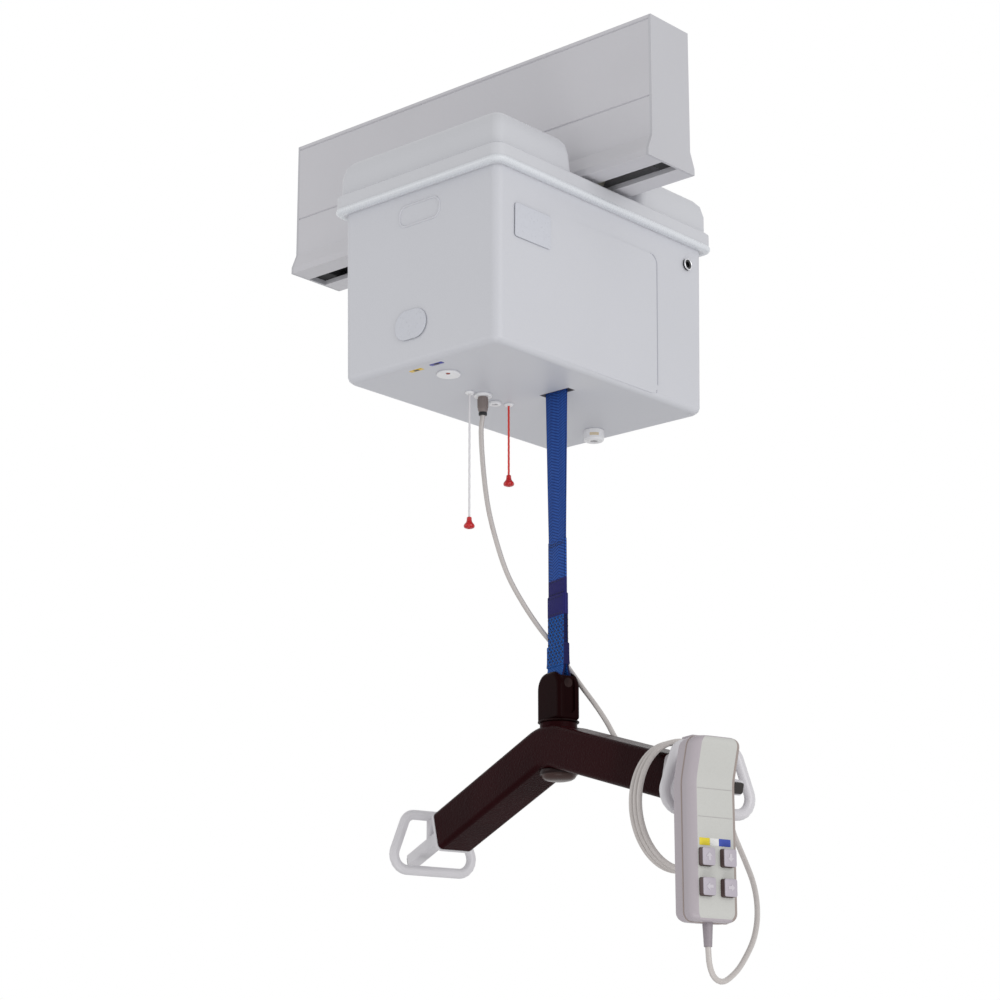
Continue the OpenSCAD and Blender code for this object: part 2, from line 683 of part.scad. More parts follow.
// Cover: a rim band, a flat notch floor under the rail, and a lobe on each side of it
module rim(z0, z1) hull() {
    for (e = [[z0, 1.5], [z0 + 2, 0], [z1 - 2, 0], [z1, 2]])
        plan_slab(rim_l - 2 * e[1], rim_w - 2 * e[1], corner_r + 2, e[0] - slice);
}
module lobe(s, z0, z1) {
    hull() for (e = [[0, 0, 0], [0.55, 0, 0.55], [0.85, 0.35, 0.9], [1, 1, 1.3]])
        let (in = notch_w / 2 + e[2] * lobe_slope, edge = lobe_in + e[1] * lobe_round,
            out = rim_w / 2 - edge)
            translate([0, s * (out + in) / 2, 0])
                plan_slab(rim_l - 2 * edge, out - in, corner_r, z0 + e[0] * (z1 - z0) - slice);
}
module lobe_hollow(s, slope, edge, z0, z1) {
    in = notch_w / 2 + slope * lobe_slope + wall;
    out = rim_w / 2 - edge;
    translate([0, s * (out + in) / 2, z0]) linear_extrude(z1 - z0)
        polygon(round_poly(mid_box(rim_l - 2 * edge, out - in), corner_r));
}
module top_cover() {
    top = ledge + lobe_h;
    color([0.87, 0.87, 0.89]) at_unit() difference() {
        union() {
            difference() {
                union() {
                    rim(body_h + slice, ledge);
                    for (s = [-1, 1]) lobe(s, ledge - wall / 2, top);
                }
                translate([0, 0, body_h - 1]) linear_extrude(rim_h + 1 - wall)
                    polygon(round_poly(mid_box(rim_l - 2 * (rim_over + wall),
                        rim_w - 2 * (rim_over + wall)), corner_r));
                for (s = [-1, 1]) {
                    lobe_hollow(s, 0.55, lobe_in + wall + 3, ledge - 2 * wall, ledge + lobe_h / 2);
                    lobe_hollow(s, 1.3, lobe_in + lobe_round + wall, ledge, top - wall);
                }
            }
            for (sx = [-1, 1], sy = [-1, 1])
                upright(body_h, top - wall / 2, pillar_d, [sx * screw_at[0], sy * screw_at[1]]);
        }
        for (sx = [-1, 1], sy = [-1, 1]) translate([sx * screw_at[0], sy * screw_at[1], 0]) {
            upright(body_h - 1, top + 1, screw_d);
            upright(top - 5, top + 1, screw_head_d + loose);
        }
        for (s = [-1, 1]) upright(body_h, ledge + 1, spacer_d + loose, [s * hanger_pitch / 2, 0]);
        for (sx = [-1, 1], sy = [-1, 1]) upright(body_h, ledge + 1, screw_d, [sx * post_at[0],
            sy * post_at[1]]);
        translate([0, 0, ledge]) cube([roller_d - 4, roller_l + 4, 4 * wall], center = true);
    }
}
module screw(head_z, bite_z, at) {
    upright(bite_z, head_z, screw_d, at);
    upright(head_z, head_z + 2.4, screw_head_d, at);
}
module cover_screws() {
    color([0.72, 0.72, 0.74]) at_unit() for (sx = [-1, 1], sy = [-1, 1]) {
        screw(ledge + lobe_h - 5, body_h - screw_bite, [sx * screw_at[0], sy * screw_at[1]]);
        screw(ledge, ledge - wall - screw_bite, [sx * post_at[0], sy * post_at[1]]);
    }
}

// Fittings on the casing
module charge_socket() {
    x = body_l / 2 + draft * charge_at[1] / body_h;
    color([0.12, 0.12, 0.13]) at_unit() difference() {
        union() {
            along_x(x - wall - 9, x, charge_d - 3, charge_at);
            along_x(x + run_gap, x + 2.5, charge_d, charge_at);
            along_x(x - 1, x + 1, charge_d - 3, charge_at);
        }
        along_x(x - 7, x + 4, charge_d / 2, charge_at);
    }
}
module badges() {
    y = body_w / 2 + draft * side_badge_at[1] / body_h;
    x = body_l / 2 + draft * end_badge_at[1] / body_h;
    lean = atan(draft / (body_h - edge_r));
    color([0.80, 0.80, 0.82]) at_unit() {
        translate([side_badge_at[0], -y - loose, side_badge_at[1]]) rotate([90 - lean, 0, 0])
            linear_extrude(badge_t) polygon(round_poly(mid_box(side_badge_size[0], side_badge_size[1]),
                side_badge_size[1] / 2 - 0.5, 10));
        translate([x + badge_lift + loose, end_badge_at[0], end_badge_at[1]])
            rotate([0, lean, 0]) rotate([90, 0, 90])
            linear_extrude(badge_t) polygon(round_poly(mid_box(end_badge_size[0], end_badge_size[1]), 3));
    }
}
module indicator_disc() {
    color([0.92, 0.92, 0.93]) at_unit() {
        upright(-disc_t, 0, disc_d, disc_at);
        upright(0, wall + 4, 4, disc_at);
    }
}
module strap_guide() {
    color([0.84, 0.84, 0.86]) at_unit() translate([slot_at[0], slot_at[1], 0]) difference() {
        union() {
            linear_extrude(wall) square(slot_size, center = true);
            translate([0, 0, wall]) linear_extrude(1.5)
                polygon(round_poly(mid_box(slot_size[0] + 8, slot_size[1] + 8), 4));
        }
        translate([0, 0, -1]) linear_extrude(wall + 4)
            square(slot_size - 2 * [guide_wall, guide_wall], center = true);
    }
}
module cable_gland() {
    color([0.90, 0.90, 0.91]) at_unit() translate([gland_at[0], gland_at[1], 0]) difference() {
        union() {
            upright(-gland_h + 1.5, 0, gland_d);
            translate([0, 0, -gland_h]) cylinder(h = 1.5, d1 = gland_d - 3, d2 = gland_d);
            upright(0, wall + 5, gland_d / 2);
        }
        upright(-gland_h - 1, -gland_h / 2, gland_hole_d);
    }
}
module sockets() {
    color([0.90, 0.90, 0.91]) at_unit() {
        translate([plug_at[0], plug_at[1], 0]) {
            upright(-socket_t, 0, socket_d + 5);
            upright(0, wall + 11, socket_d);
        }
        translate([spare_at[0], spare_at[1], 0]) difference() {
            union() {
                upright(-socket_t, 0, spare_d + 3);
                upright(0, wall + 9, spare_d);
            }
            upright(-socket_t - 1, 6, spare_d - 3);
        }
    }
}
module handset_plug() {
    z0 = -socket_t - plug_l;
    color([0.42, 0.38, 0.36]) at_unit() translate([plug_at[0], plug_at[1], 0]) {
        upright(z0 + 3, -socket_t, plug_d);
        translate([0, 0, z0]) cylinder(h = 3, d1 = plug_d - 2, d2 = plug_d);
        upright(z0 - collar_l, z0, cable_d + 3);
    }
}
module cord_bushes() {
    color([0.90, 0.90, 0.91]) at_unit() for (p = [white_at, red_at]) translate([p[0], p[1],
        0]) difference() {
        union() {
            upright(0, wall, bush_d);
            translate([0, 0, -2.5]) cylinder(h = 2.5, d1 = bush_d, d2 = bush_d + 3);
        }
        upright(-4, wall + 1, pull_d + 2 * run_gap);
    }
}
module pull_switches() {
    color([0.18, 0.18, 0.20]) at_unit() for (p = [white_at, red_at]) difference() {
        translate([p[0] - switch_size[0] / 2, p[1] - switch_size[1] / 2, wall]) cube(switch_size);
        upright(0, pull_top + 4, pull_d + 2 * run_gap, p);
    }
}
module pull(at, l) at_unit() translate([at[0], at[1], 0]) {
    upright(-l, pull_top, pull_d);
    translate([0, 0, -l]) rotate_extrude() polygon(concat([[0, 0], [acorn_d / 4, 0]],
        [for (a = [70:-20:-90])
        [acorn_d / 2 * cos(a), -acorn_h / 2 + acorn_h / 2 * sin(a)]]));
}
module white_pull() { color([0.93, 0.93, 0.93]) pull(white_at, white_l); }
module red_pull() { color([0.72, 0.12, 0.14]) pull(red_at, red_l); }

// Strap: it leaves the winding along the rail and turns to the bar on its way down
module lifting_strap() {
    top = base_z + drum_z;
    foot = bar_z + loop_top;
    color([0.14, 0.27, 0.53]) translate([rest_x + strap_x, strap_y, foot]) rotate([0, 0, bar_yaw])
        linear_extrude(top - foot, twist = bar_yaw, slices = 12) square([strap_w, strap_t], center = true);
}
module strap_loop() {
    eye_d = yoke_pin_d + 2 * fit + loop_t;
    color([0.12, 0.35, 0.67]) at_bar() difference() {
        union() {
            translate([-strap_w / 2, -loop_t / 2, pin_z]) cube([strap_w, loop_t, loop_top - pin_z]);
            along_x(-strap_w / 2, strap_w / 2, eye_d, [0, pin_z]);
        }
        along_x(-strap_w, strap_w, yoke_pin_d + 2 * fit, [0, pin_z]);
    }
}

// Yoke: a moulded block over a base disc, hollow at the top for the strap's eye
module yoke() {
    hollow = [strap_w + 2, yoke_w - 2 * yoke_wall];
    color([0.07, 0.07, 0.08]) at_bar() difference() {
        union() {
            intersection() {
                translate([-yoke_l / 2, 0, 0]) rotate([90, 0, 90]) linear_extrude(yoke_l)
                    polygon(round_poly(box_pts([-yoke_w / 2, yoke_w / 2], [yoke_foot, yoke_top]), 5));
                translate([0, yoke_w / 2, 0]) rotate([90, 0, 0]) linear_extrude(yoke_w)
                    polygon(round_poly(box_pts([-yoke_l / 2, yoke_l / 2], [yoke_foot - yoke_arch,
                        yoke_top]),
                        yoke_arch));
            }
            upright(yoke_foot, yoke_foot + base_t, 2 * disc_r);
        }
        translate([-hollow[0] / 2, -hollow[1] / 2, pin_z - 10]) cube([hollow[0], hollow[1], yoke_top]);
        along_x(-yoke_l, yoke_l, yoke_pin_d, [0, pin_z]);
        upright(yoke_foot - 1, yoke_foot + 14, stud_d);
    }
}
module yoke_pin() { color([0.60, 0.60, 0.62]) at_bar() along_x(-yoke_l / 2, yoke_l / 2, yoke_pin_d, [0,
    pin_z]); }
module swivel_stud() {
    color([0.62, 0.62, 0.64]) at_bar() {
        upright(boss_foot - washer_t - swivel_nut_t - 1, yoke_foot + 14, stud_d);
        translate([0, 0, boss_foot - washer_t - run_gap - swivel_nut_t])
            cylinder(h = swivel_nut_t, d = nut_af / cos(30), $fn = 6);
    }
}

// Spreader bar: two square tubes mitred at a bored boss
module arm() intersection() {
    at_arm() difference() {
        translate([-tube, -tube / 2, -tube / 2]) cube([arm_l + tube, tube, tube]);
        let (in = tube - 2 * tube_wall) translate([boss_r + 8, -in / 2, -in / 2]) cube([arm_l, in, in]);
    }
    translate([0, -tube, -2 * arm_l]) cube([2 * arm_l, 2 * tube, 4 * arm_l]);
}
module spreader_bar() {
    color([0.15, 0.09, 0.09]) at_bar() difference() {
        union() {
            arm();
            mirror([1, 0, 0]) arm();
            upright(boss_foot, yoke_foot - washer_t, 2 * boss_r);
        }
        upright(-tube - boss_r, tube + boss_r, stud_d + 2 * fit);
        upright(-2 * tube, boss_foot, 2 * cap_r + 2);
        upright(yoke_foot - washer_t, 2 * tube, 2 * disc_r + 2);
    }
}
module swivel_cap() {
    foot = boss_foot - swivel_nut_t - washer_t - 4;
    color([0.10, 0.08, 0.08]) at_bar() difference() {
        upright(foot, boss_foot, 2 * cap_r);
        upright(foot + cap_wall, boss_foot + 1, 2 * (cap_r - cap_wall));
    }
}

// Sling hook: a plug in the tube's end, a tongue, and a closed ring across it
module ring_outline(in) polygon(round_poly([[ring_foot - in, ring_z[0] + in], [ring_top - in,
    ring_z[1] - in],
    [-ring_top + in, ring_z[1] - in], [-ring_foot + in, ring_z[0] + in]], ring_r - in));
module ring_hole() difference() {
    ring_outline(ring_rod);
    translate([-ring_foot, ring_z[1] - ring_bar]) square([2 * ring_foot, ring_bar]);
}
module hook() {
    plug_w = tube - 2 * tube_wall - loose;
    at_arm() {
        translate([arm_l - plug_in, -plug_w / 2, -plug_w / 2]) cube([plug_in, plug_w, plug_w]);
        translate([arm_l, -tube / 2, -tube / 2]) cube([flange_l, tube, tube]);
        translate([arm_l, -tongue[1] / 2, tongue_up - tongue[2] / 2]) cube(tongue);
    }
    translate([ring_u - ring_rod / 2, 0, 0]) rotate([90, 0, 90]) linear_extrude(ring_rod) difference() {
        ring_outline(0);
        ring_hole();
    }
    web_z = -ring_u * tan(droop);
    translate([ring_u - ring_rod / 2, -tongue[1] / 2, web_z]) cube([ring_rod, tongue[1],
        ring_z[1] - ring_bar - web_z]);
}
module left_hook() { color([0.90, 0.90, 0.91]) at_bar() mirror([1, 0, 0]) hook(); }
module right_hook() { color([0.90, 0.90, 0.91]) at_bar() hook(); }

// Handset: two shells split along the seam, its head bent forward
function side_outline(x0, x1, top) = [[x1, 0], [x1, hs_bend], [x1 + hs_lean, top], [x0 + hs_lean, top],
    [x0, hs_bend], [x0, 0]];
module hs_block(pts, w, r) intersection() {
    translate([0, w / 2, 0]) rotate([90, 0, 0]) linear_extrude(w) polygon(round_poly(pts, r));
    rotate([90, 0, 90]) linear_extrude(2 * hs_t) polygon(round_poly(box_pts([-w / 2, w / 2], [0,
        hs_h]), hs_round));
}
module hs_plan(z, lean) let (half = hs_w / 2, flank = hs_t - hs_cut) translate([lean, 0,
    z]) linear_extrude(slice)
    polygon([[hs_t, half - hs_cut], [flank, half], [0, half], [0, -half], [flank, -half], [hs_t,
        hs_cut - half]]);
module hs_prism() {
    hull() {
        hs_plan(0, 0);
        hs_plan(hs_bend - slice, 0);
    }
    hull() {
        hs_plan(hs_bend - slice, 0);
        hs_plan(hs_h - slice, hs_lean);
    }
}
module key_hole(i, gap) let (v = i % 2 == 0 ? -key_v : key_v, z = key_z[floor(i / 2)])
    translate([0, v, z]) rotate([90, 0, 90]) linear_extrude(2 * hs_t)
        polygon(round_poly(mid_box(key[0] + 2 * gap, key[1] + 2 * gap), 3));
module hs_cavity() let (half = hs_w / 2 - hs_wall, front = hs_t - hs_wall)
    translate([0, 0, hs_wall + 3]) linear_extrude(hs_bend - hs_wall - 10)
        polygon([[front, half - hs_cut_in], [front - hs_cut_in, half], [hs_wall, half],
            [hs_wall, -half], [front - hs_cut_in, -half], [front, hs_cut_in - half]]);
function hook_outline(x, half, z) = [[hs_split / 2, hs_bend - 24], [hs_split / 2 + 2, hs_bend + 2],
    [x + half + hook_lip, z + hook_lip], [x - half - hook_lip, z + hook_lip], [x - half - hook_lip,
        z - ring_bar / 2],
    [x - half, z - ring_bar / 2], [x - half, z], [x + half, z], [x + half, z - 2 * ring_bar / 3],
    [0, hs_bend - 24]];
module handset_back() {
    color([0.78, 0.77, 0.79]) at_handset() difference() {
        union() {
            hs_block(side_outline(0, hs_split, hs_h), hs_w, 2);
            translate([0, hook_v + hook_w / 2, 0]) rotate([90, 0, 0]) linear_extrude(hook_w)
                polygon(hook_outline(ring_u - hs_u, ring_rod / 2 + loose, ring_z[1] - hs_z + run_gap));
        }
        hs_cavity();
    }
}
module handset_front() {
    color([0.84, 0.84, 0.84]) at_handset() difference() {
        intersection() {
            hs_block(side_outline(hs_split, hs_t, hs_h), hs_w, 2);
            hs_prism();
        }
        hs_cavity();
        for (i = [0:3]) key_hole(i, key_gap);
    }
}
module handset_board() {
    h = hs_bend - 20;
    color([0.10, 0.36, 0.20]) at_handset() {
        translate([pcb_x, -hs_w / 2 + hs_wall + loose, 12]) cube([pcb_t,
            hs_w - 2 * hs_wall - 2 * loose, h]);
        for (z = [20, h]) along_x(hs_wall, pcb_x, 6, [0, z]);
        for (i = [0:3]) intersection() {
            key_hole(i, -2);
            translate([pcb_x + pcb_t, -hs_w, 0]) cube([5, 2 * hs_w, hs_h]);
        }
    }
}
module hs_key(i) {
    back = pcb_x + pcb_t + 5 + key_travel + run_gap;
    color([0.76, 0.74, 0.77]) at_handset() intersection() {
        key_hole(i, 0);
        translate([back, -hs_w, 0]) cube([hs_t + key_out - back, 2 * hs_w, hs_h]);
    }
}
module key_up() { hs_key(0); }
module key_down() { hs_key(1); }
module key_left() { hs_key(2); }
module key_right() { hs_key(3); }
module strain_relief() {
    color([0.75, 0.74, 0.74]) at_handset() translate([hs_split - 1, 0, -relief_l])
        cylinder(h = relief_l, d1 = cable_d + 2, d2 = relief_d);
}

// Cable from the plug down past the strap, along the arm, round it and to the handset
plug_end = in_bar([plug_at[0], plug_at[1], -socket_t - plug_l - collar_l - loose]);
relief_end = [hs_u + hs_split - 1, hs_v, hs_z - relief_l];
loop_steps = 24;
loop_path = [for (i = [0:loops * loop_steps]) let (a = -360 * i / loop_steps)
    [loop_u + loop_pitch * i / loop_steps, loop_v * cos(a), loop_z + loop_h * sin(a)]];
loop_gap = min([for (i = [0:loop_steps]) norm(loop_path[i + loop_steps] - loop_path[i])]) - cable_d;
echo(least_gap_between_cable_loops = loop_gap);
cable_path = concat([plug_end], drop_points, [join_drop], mid_points, [join_mid], run_points, loop_path,
    tail_points, [relief_end]);
drop_i = len(drop_points) + 1;
mid_i = drop_i + len(mid_points) + 1;
run_i = mid_i + len(run_points) + 1;
coil_i = run_i + len(loop_path) - 1;
tail_i = coil_i + len(tail_points) + 1;
module cable(from, to, sides, ref) color([0.80, 0.79, 0.79]) at_bar() cord(cable_path, from, to,
    cable_d, sides, ref);
module cable_drop() { cable(0, drop_i, 8, [0, 1, 0]); }
module cable_mid() { cable(drop_i, mid_i, 8, [0, 1, 0]); }
module cable_run() { cable(mid_i, run_i, 8, [0, 1, 0]); }
module cable_coil() { cable(run_i, coil_i, 6, [1, 0, 0]); }
module cable_tail() { cable(coil_i, tail_i, 8, [1, 0, 0]); }

rail();
rail_end_caps();
end_stops();
trolley_frame();
trolley_axles();
front_wheels();
rear_wheels();
hanger_bolts();
chassis_plate();
bearing_plates();
drum_bearings();
drum_shaft();
drum_spool();
drum_gear();
wound_strap();
pinion();
lift_motor();
roller_bracket();
drive_roller();
traverse_motor();
battery_tray();
batteries();
control_board();
casing();
top_cover();
cover_screws();
charge_socket();
badges();
indicator_disc();
strap_guide();
cable_gland();
sockets();
handset_plug();
cord_bushes();
pull_switches();
white_pull();
red_pull();
lifting_strap();
strap_loop();
yoke();
yoke_pin();
swivel_stud();
spreader_bar();
swivel_cap();
left_hook();
right_hook();
handset_back();
handset_front();
handset_board();
strain_relief();
key_up();
key_down();
key_left();
key_right();
cable_drop();
cable_mid();
cable_run();
cable_coil();
cable_tail();
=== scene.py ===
import math

import bmesh
import bpy
from mathutils import Matrix, Vector
from mathutils.bvhtree import BVHTree


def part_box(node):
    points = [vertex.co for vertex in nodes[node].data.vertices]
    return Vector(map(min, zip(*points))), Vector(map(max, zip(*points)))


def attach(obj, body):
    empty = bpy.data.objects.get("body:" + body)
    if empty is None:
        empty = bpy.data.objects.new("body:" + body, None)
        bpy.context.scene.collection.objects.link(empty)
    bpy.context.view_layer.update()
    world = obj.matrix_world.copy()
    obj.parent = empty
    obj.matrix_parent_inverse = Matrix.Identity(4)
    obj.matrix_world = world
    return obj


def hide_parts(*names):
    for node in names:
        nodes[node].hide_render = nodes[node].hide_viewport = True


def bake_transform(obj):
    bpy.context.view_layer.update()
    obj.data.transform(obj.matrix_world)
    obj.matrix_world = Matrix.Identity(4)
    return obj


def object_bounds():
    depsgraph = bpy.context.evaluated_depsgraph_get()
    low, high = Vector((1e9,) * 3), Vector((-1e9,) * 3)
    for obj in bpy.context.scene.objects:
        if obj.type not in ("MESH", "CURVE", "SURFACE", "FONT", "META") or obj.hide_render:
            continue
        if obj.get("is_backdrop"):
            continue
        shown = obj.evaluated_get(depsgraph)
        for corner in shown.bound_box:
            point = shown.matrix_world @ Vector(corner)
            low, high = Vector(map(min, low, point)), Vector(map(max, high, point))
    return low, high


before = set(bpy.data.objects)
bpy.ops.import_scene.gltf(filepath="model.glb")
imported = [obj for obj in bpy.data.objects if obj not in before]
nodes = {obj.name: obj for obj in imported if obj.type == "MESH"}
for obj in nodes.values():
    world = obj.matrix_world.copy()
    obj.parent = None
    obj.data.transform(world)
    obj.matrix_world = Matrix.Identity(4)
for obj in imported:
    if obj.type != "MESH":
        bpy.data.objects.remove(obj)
scene = bpy.context.scene
scene.view_settings.view_transform = "Standard"
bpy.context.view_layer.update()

# The camera stands low in front of the hoist's corner and looks 15.5 degrees up at it,
# from about 2.5 m away through a long lens, as the photograph was taken.
lens = bpy.data.cameras.new("camera")
lens.lens = 91.93
lens.sensor_width = 36
camera = bpy.data.objects.new("camera", lens)
camera.location = (1.6605, -1.8404, -1.1305)
camera.rotation_euler = (math.radians(105.47), 0, math.radians(41.65))
scene.collection.objects.link(camera)
scene.camera = camera

# Handset cable: round PVC flex, 5 mm thick, extruded in pale grey. It drops from its plug past the strap,
# lies along the right arm, goes three times round it and hangs in a bow up into the handset's foot.
MM = 0.001
AXIS_X, AXIS_Y, AXIS_Z = Vector((1, 0, 0)), Vector((0, 1, 0)), Vector((0, 0, 1))
BAR_HUB = (96.5, 2.5, -705)
BAR_TURN = math.radians(17)
ALONG, ASIDE = math.cos(BAR_TURN), math.sin(BAR_TURN)
U, V = Vector((ALONG, -ASIDE, 0)), Vector((ASIDE, ALONG, 0))


def bar_point(u, v, z):
    """A point on the spreader bar's own axes, in millimetres, in the part's frame."""
    x, y, level = BAR_HUB
    return Vector((x + ALONG * u + ASIDE * v, y - ASIDE * u + ALONG * v, level + z))


def chart(red, green, blue):
    """A colour as a paint chart gives it, 0 to 255, in the shader's linear numbers."""
    return tuple(((c / 255 + 0.055) / 1.055) ** 2.4 for c in (red, green, blue)) + (1.0,)


class Shade:
    """One value in a tree of nodes: sums on it add Math nodes, and node() adds any other node."""

    def __init__(self, tree, socket=None):
        self.tree = tree
        self.socket = socket

    def node(self, kind, settings, sockets, out=0):
        new = self.tree.nodes.new(kind)
        for key, value in settings.items():
            setattr(new, key, value)
        for key, value in sockets.items():
            if isinstance(value, Shade):
                self.tree.links.new(value.socket, new.inputs[key])
            else:
                new.inputs[key].default_value = value
        return Shade(self.tree, new.outputs[out])

    def math(self, operation, *values):
        return self.node("ShaderNodeMath", {"operation": operation}, dict(enumerate(values)))

    def __add__(self, other):
        return self.math("ADD", self, other)

    def __sub__(self, other):
        return self.math("SUBTRACT", self, other)

    def __rsub__(self, other):
        return self.math("SUBTRACT", other, self)

    def __mul__(self, other):
        return self.math("MULTIPLY", self, other)

    __radd__ = __add__
    __rmul__ = __mul__

    def place(self, which="Object"):
        return self.node("ShaderNodeTexCoord", {}, {}, which)

    def noise(self, place, size, detail=2.0):
        return self.node("ShaderNodeTexNoise", {},
                         {"Vector": place, "Scale": 1 / (size * MM), "Detail": detail})

    def step(self, low, high):
        return self.node("ShaderNodeMapRange", {"interpolation_type": "SMOOTHSTEP"},
                         {"Value": self, "From Min": low, "From Max": high})

    def mix(self, low, high, share):
        return self.node("ShaderNodeMix", {"data_type": "RGBA"}, {"Factor": share, 6: low, 7: high}, 2)

    def bump(self, height, depth):
        return self.node("ShaderNodeBump", {}, {"Height": height, "Distance": depth * MM})


def finish(name, plan):
    """A material whose Principled sockets take what plan gives: a number, a colour or a Shade."""
    material = bpy.data.materials.new(name)
    material.use_nodes = True
    shader = material.node_tree.nodes["Principled BSDF"]
    for key, value in plan(Shade(material.node_tree)).items():
        if isinstance(value, Shade):
            material.node_tree.links.new(value.socket, shader.inputs[key])
        else:
            shader.inputs[key].default_value = value
    return material


def darker(colour, share):
    """A colour with part of its light taken away."""
    return tuple(c * (1 - share) for c in colour[:3]) + (1.0,)


def moulded(name, colour, rough=0.42, grain=0.8, depth=0.02, drift=0.03):
    """Moulded plastic: the mould's fine grain, a slow drift in tone and patches rubbed smoother."""
    def plan(add):
        speck = add.noise(add.place(), grain)
        cloud = add.noise(add.place(), 160)
        tone = 0.5 * cloud.step(0.3, 0.7) + 0.5 * speck.step(0.3, 0.6)
        return {
            "Base Color": add.mix(darker(colour, 2 * drift), colour, tone),
            "Roughness": rough + 0.16 * (speck - 0.5) + 0.1 * (cloud - 0.5),
            "Normal": add.bump(speck, depth),
        }
    return finish(name, plan)


def flowing(points, gap):
    """A smooth line through points, a station about every gap millimetres, and each point's station."""
    ends = [points[0] * 2 - points[1]] + points + [points[-1] * 2 - points[-2]]
    line = []
    marks = []
    for p, q, r, s in zip(ends, ends[1:], ends[2:], ends[3:]):
        count = max(1, round((r - q).length / gap))
        marks.append(len(line))
        for k in range(count):
            t = k / count
            line.append(0.5 * (2 * q + (r - p) * t + (2 * p - 5 * q + 4 * r - s) * t * t
                               + (3 * q - p - 3 * r + s) * t ** 3))
    marks.append(len(line))
    return line + [points[-1]], marks


def swept(line, outline, side=None, closed=False):
    """Rings of an outline, a list of (across, up) in millimetres, carried along a line without twist."""
    rings = []
    last = len(line) - 1
    side = side or (line[1] - line[0]).orthogonal().normalized()
    for i, at in enumerate(line):
        if closed:
            ahead = (line[(i + 1) % len(line)] - line[i - 1]).normalized()
        else:
            ahead = (line[min(i + 1, last)] - line[max(i - 1, 0)]).normalized()
        side = (side - ahead * side.dot(ahead)).normalized()
        up = ahead.cross(side)
        rings.append([at + side * a + up * b for a, b in outline])
    return rings


def skin(work, rings, closed=False, weave=None):
    """Adds a skin through rings of equal counts, with flat lids, and a UV map where weave gives one."""
    count = len(rings[0])
    points = [[work.verts.new(p * MM) for p in ring] for ring in rings]
    layer = work.loops.layers.uv.verify() if weave else None
    for i in range(len(rings) if closed else len(rings) - 1):
        here, there = points[i], points[(i + 1) % len(rings)]
        for k in range(count):
            j = (k + 1) % count
            face = work.faces.new((here[k], here[j], there[j], there[k]))
            if weave:
                corners = ((i, k), (i, j), (i + 1, j), (i + 1, k))
                for loop, (ring, at) in zip(face.loops, corners):
                    loop[layer].uv = weave(ring, at)
    if not closed:
        work.faces.new(points[0])
        work.faces.new(points[-1])


def piece(name, work, material, smooth=40, outward=True):
    """A finished piece at the origin from a bmesh, shaded smooth where its faces meet below an angle."""
    if outward:
        bmesh.ops.recalc_face_normals(work, faces=work.faces[:])
    for face in work.faces:
        face.smooth = True
    for edge in work.edges:
        edge.smooth = edge.calc_face_angle(0.0) < math.radians(smooth)
    mesh = bpy.data.meshes.new(name)
    work.to_mesh(mesh)
    work.free()
    mesh.materials.append(material)
    obj = bpy.data.objects.new(name, mesh)
    scene.collection.objects.link(obj)
    return obj


def circle(radius, count, lobes=0, depth=0.0, turn=0.0):
    """A round outline, with lobes as on a laid cord."""
    outline = []
    for k in range(count):
        angle = 2 * math.pi * k / count
        out = radius + depth * math.cos(lobes * (angle - turn))
        outline.append((out * math.cos(angle), out * math.sin(angle)))
    return outline


def reach(line):
    """The length of a line of points in millimetres."""
    return sum((b - a).length for a, b in zip(line, line[1:]))


cable_grey = moulded("cable_grey", chart(196, 190, 187), rough=0.24, grain=1.6, depth=0.008, drift=0.05)
cable_thick = 5
plug_foot = Vector((40, -44, -374))
drop = [(-42, -62, 314), (-41, -60, 276), (-38, -56, 236), (-34, -48, 199), (-30, -38, 168), (-25, -24, 141),
        (-21, -8, 118), (-17, 6, 101), (-9, 10, 88)]
mid = [(0, 14, 74), (14, 19, 55), (31, 23, 35)]
run = [(44, 26, 18), (58, 27, 0), (78, 27, -18), (100, 27, -32), (122, 28, -43), (142, 31, -51),
       (158, 36, -57), (171, 41, -63), (181, 45, -70), (186, 46.8, -77)]
coil_start, coil_pitch, coil_half_width, coil_half_height, coil_level = 188, 6, 47, 56.5, -84
turns, turn_points = 3, 24
loops = [(coil_start + coil_pitch * i / turn_points,
          coil_half_width * math.cos(2 * math.pi * i / turn_points),
          coil_level - coil_half_height * math.sin(2 * math.pi * i / turn_points))
         for i in range(turns * turn_points + 1)]
tail = [(208.5, 49.5, -104), (214, 52.5, -120), (222, 54, -136), (231, 53.5, -152), (240, 50, -169),
        (249, 43, -187), (256, 33.5, -204), (262, 21, -219), (268, 6, -233), (274, -12, -243),
        (278.5, -25, -241), (280.7, -31.5, -231), (281, -33, -216)]
route = [plug_foot] + [bar_point(*p) for p in drop + mid + run + loops + tail]
cable_line, marks = flowing(route, 4)
cable_rings = swept(cable_line, circle(cable_thick / 2, 14))
# Each stretch has the route's points at its two ends, and the bodies that these follow.
stretches = [("cable_drop", 0, 9, "hoist", "strap_end"), ("cable_mid", 9, 12, "strap_end", "yoke"),
             ("cable_run", 12, 23, "yoke", "bar"), ("cable_coil", 23, 95, "bar", "bar"),
             ("cable_tail", 95, 108, "bar", "handset")]
for node, start, stop, body, far_body in stretches:
    first, last = marks[start], marks[stop]
    line = cable_line[first:last + 1]
    work = bmesh.new()
    skin(work, cable_rings[first:last + 1])
    flex = piece(node + "_flex", work, cable_grey)
    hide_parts(node)
    if body == far_body:
        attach(flex, body)
    else:
        line[0] * MM
        line[-1] * MM
        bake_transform(flex)
    line[0] * MM
    reach(line) * MM
    [p * MM for p in line]

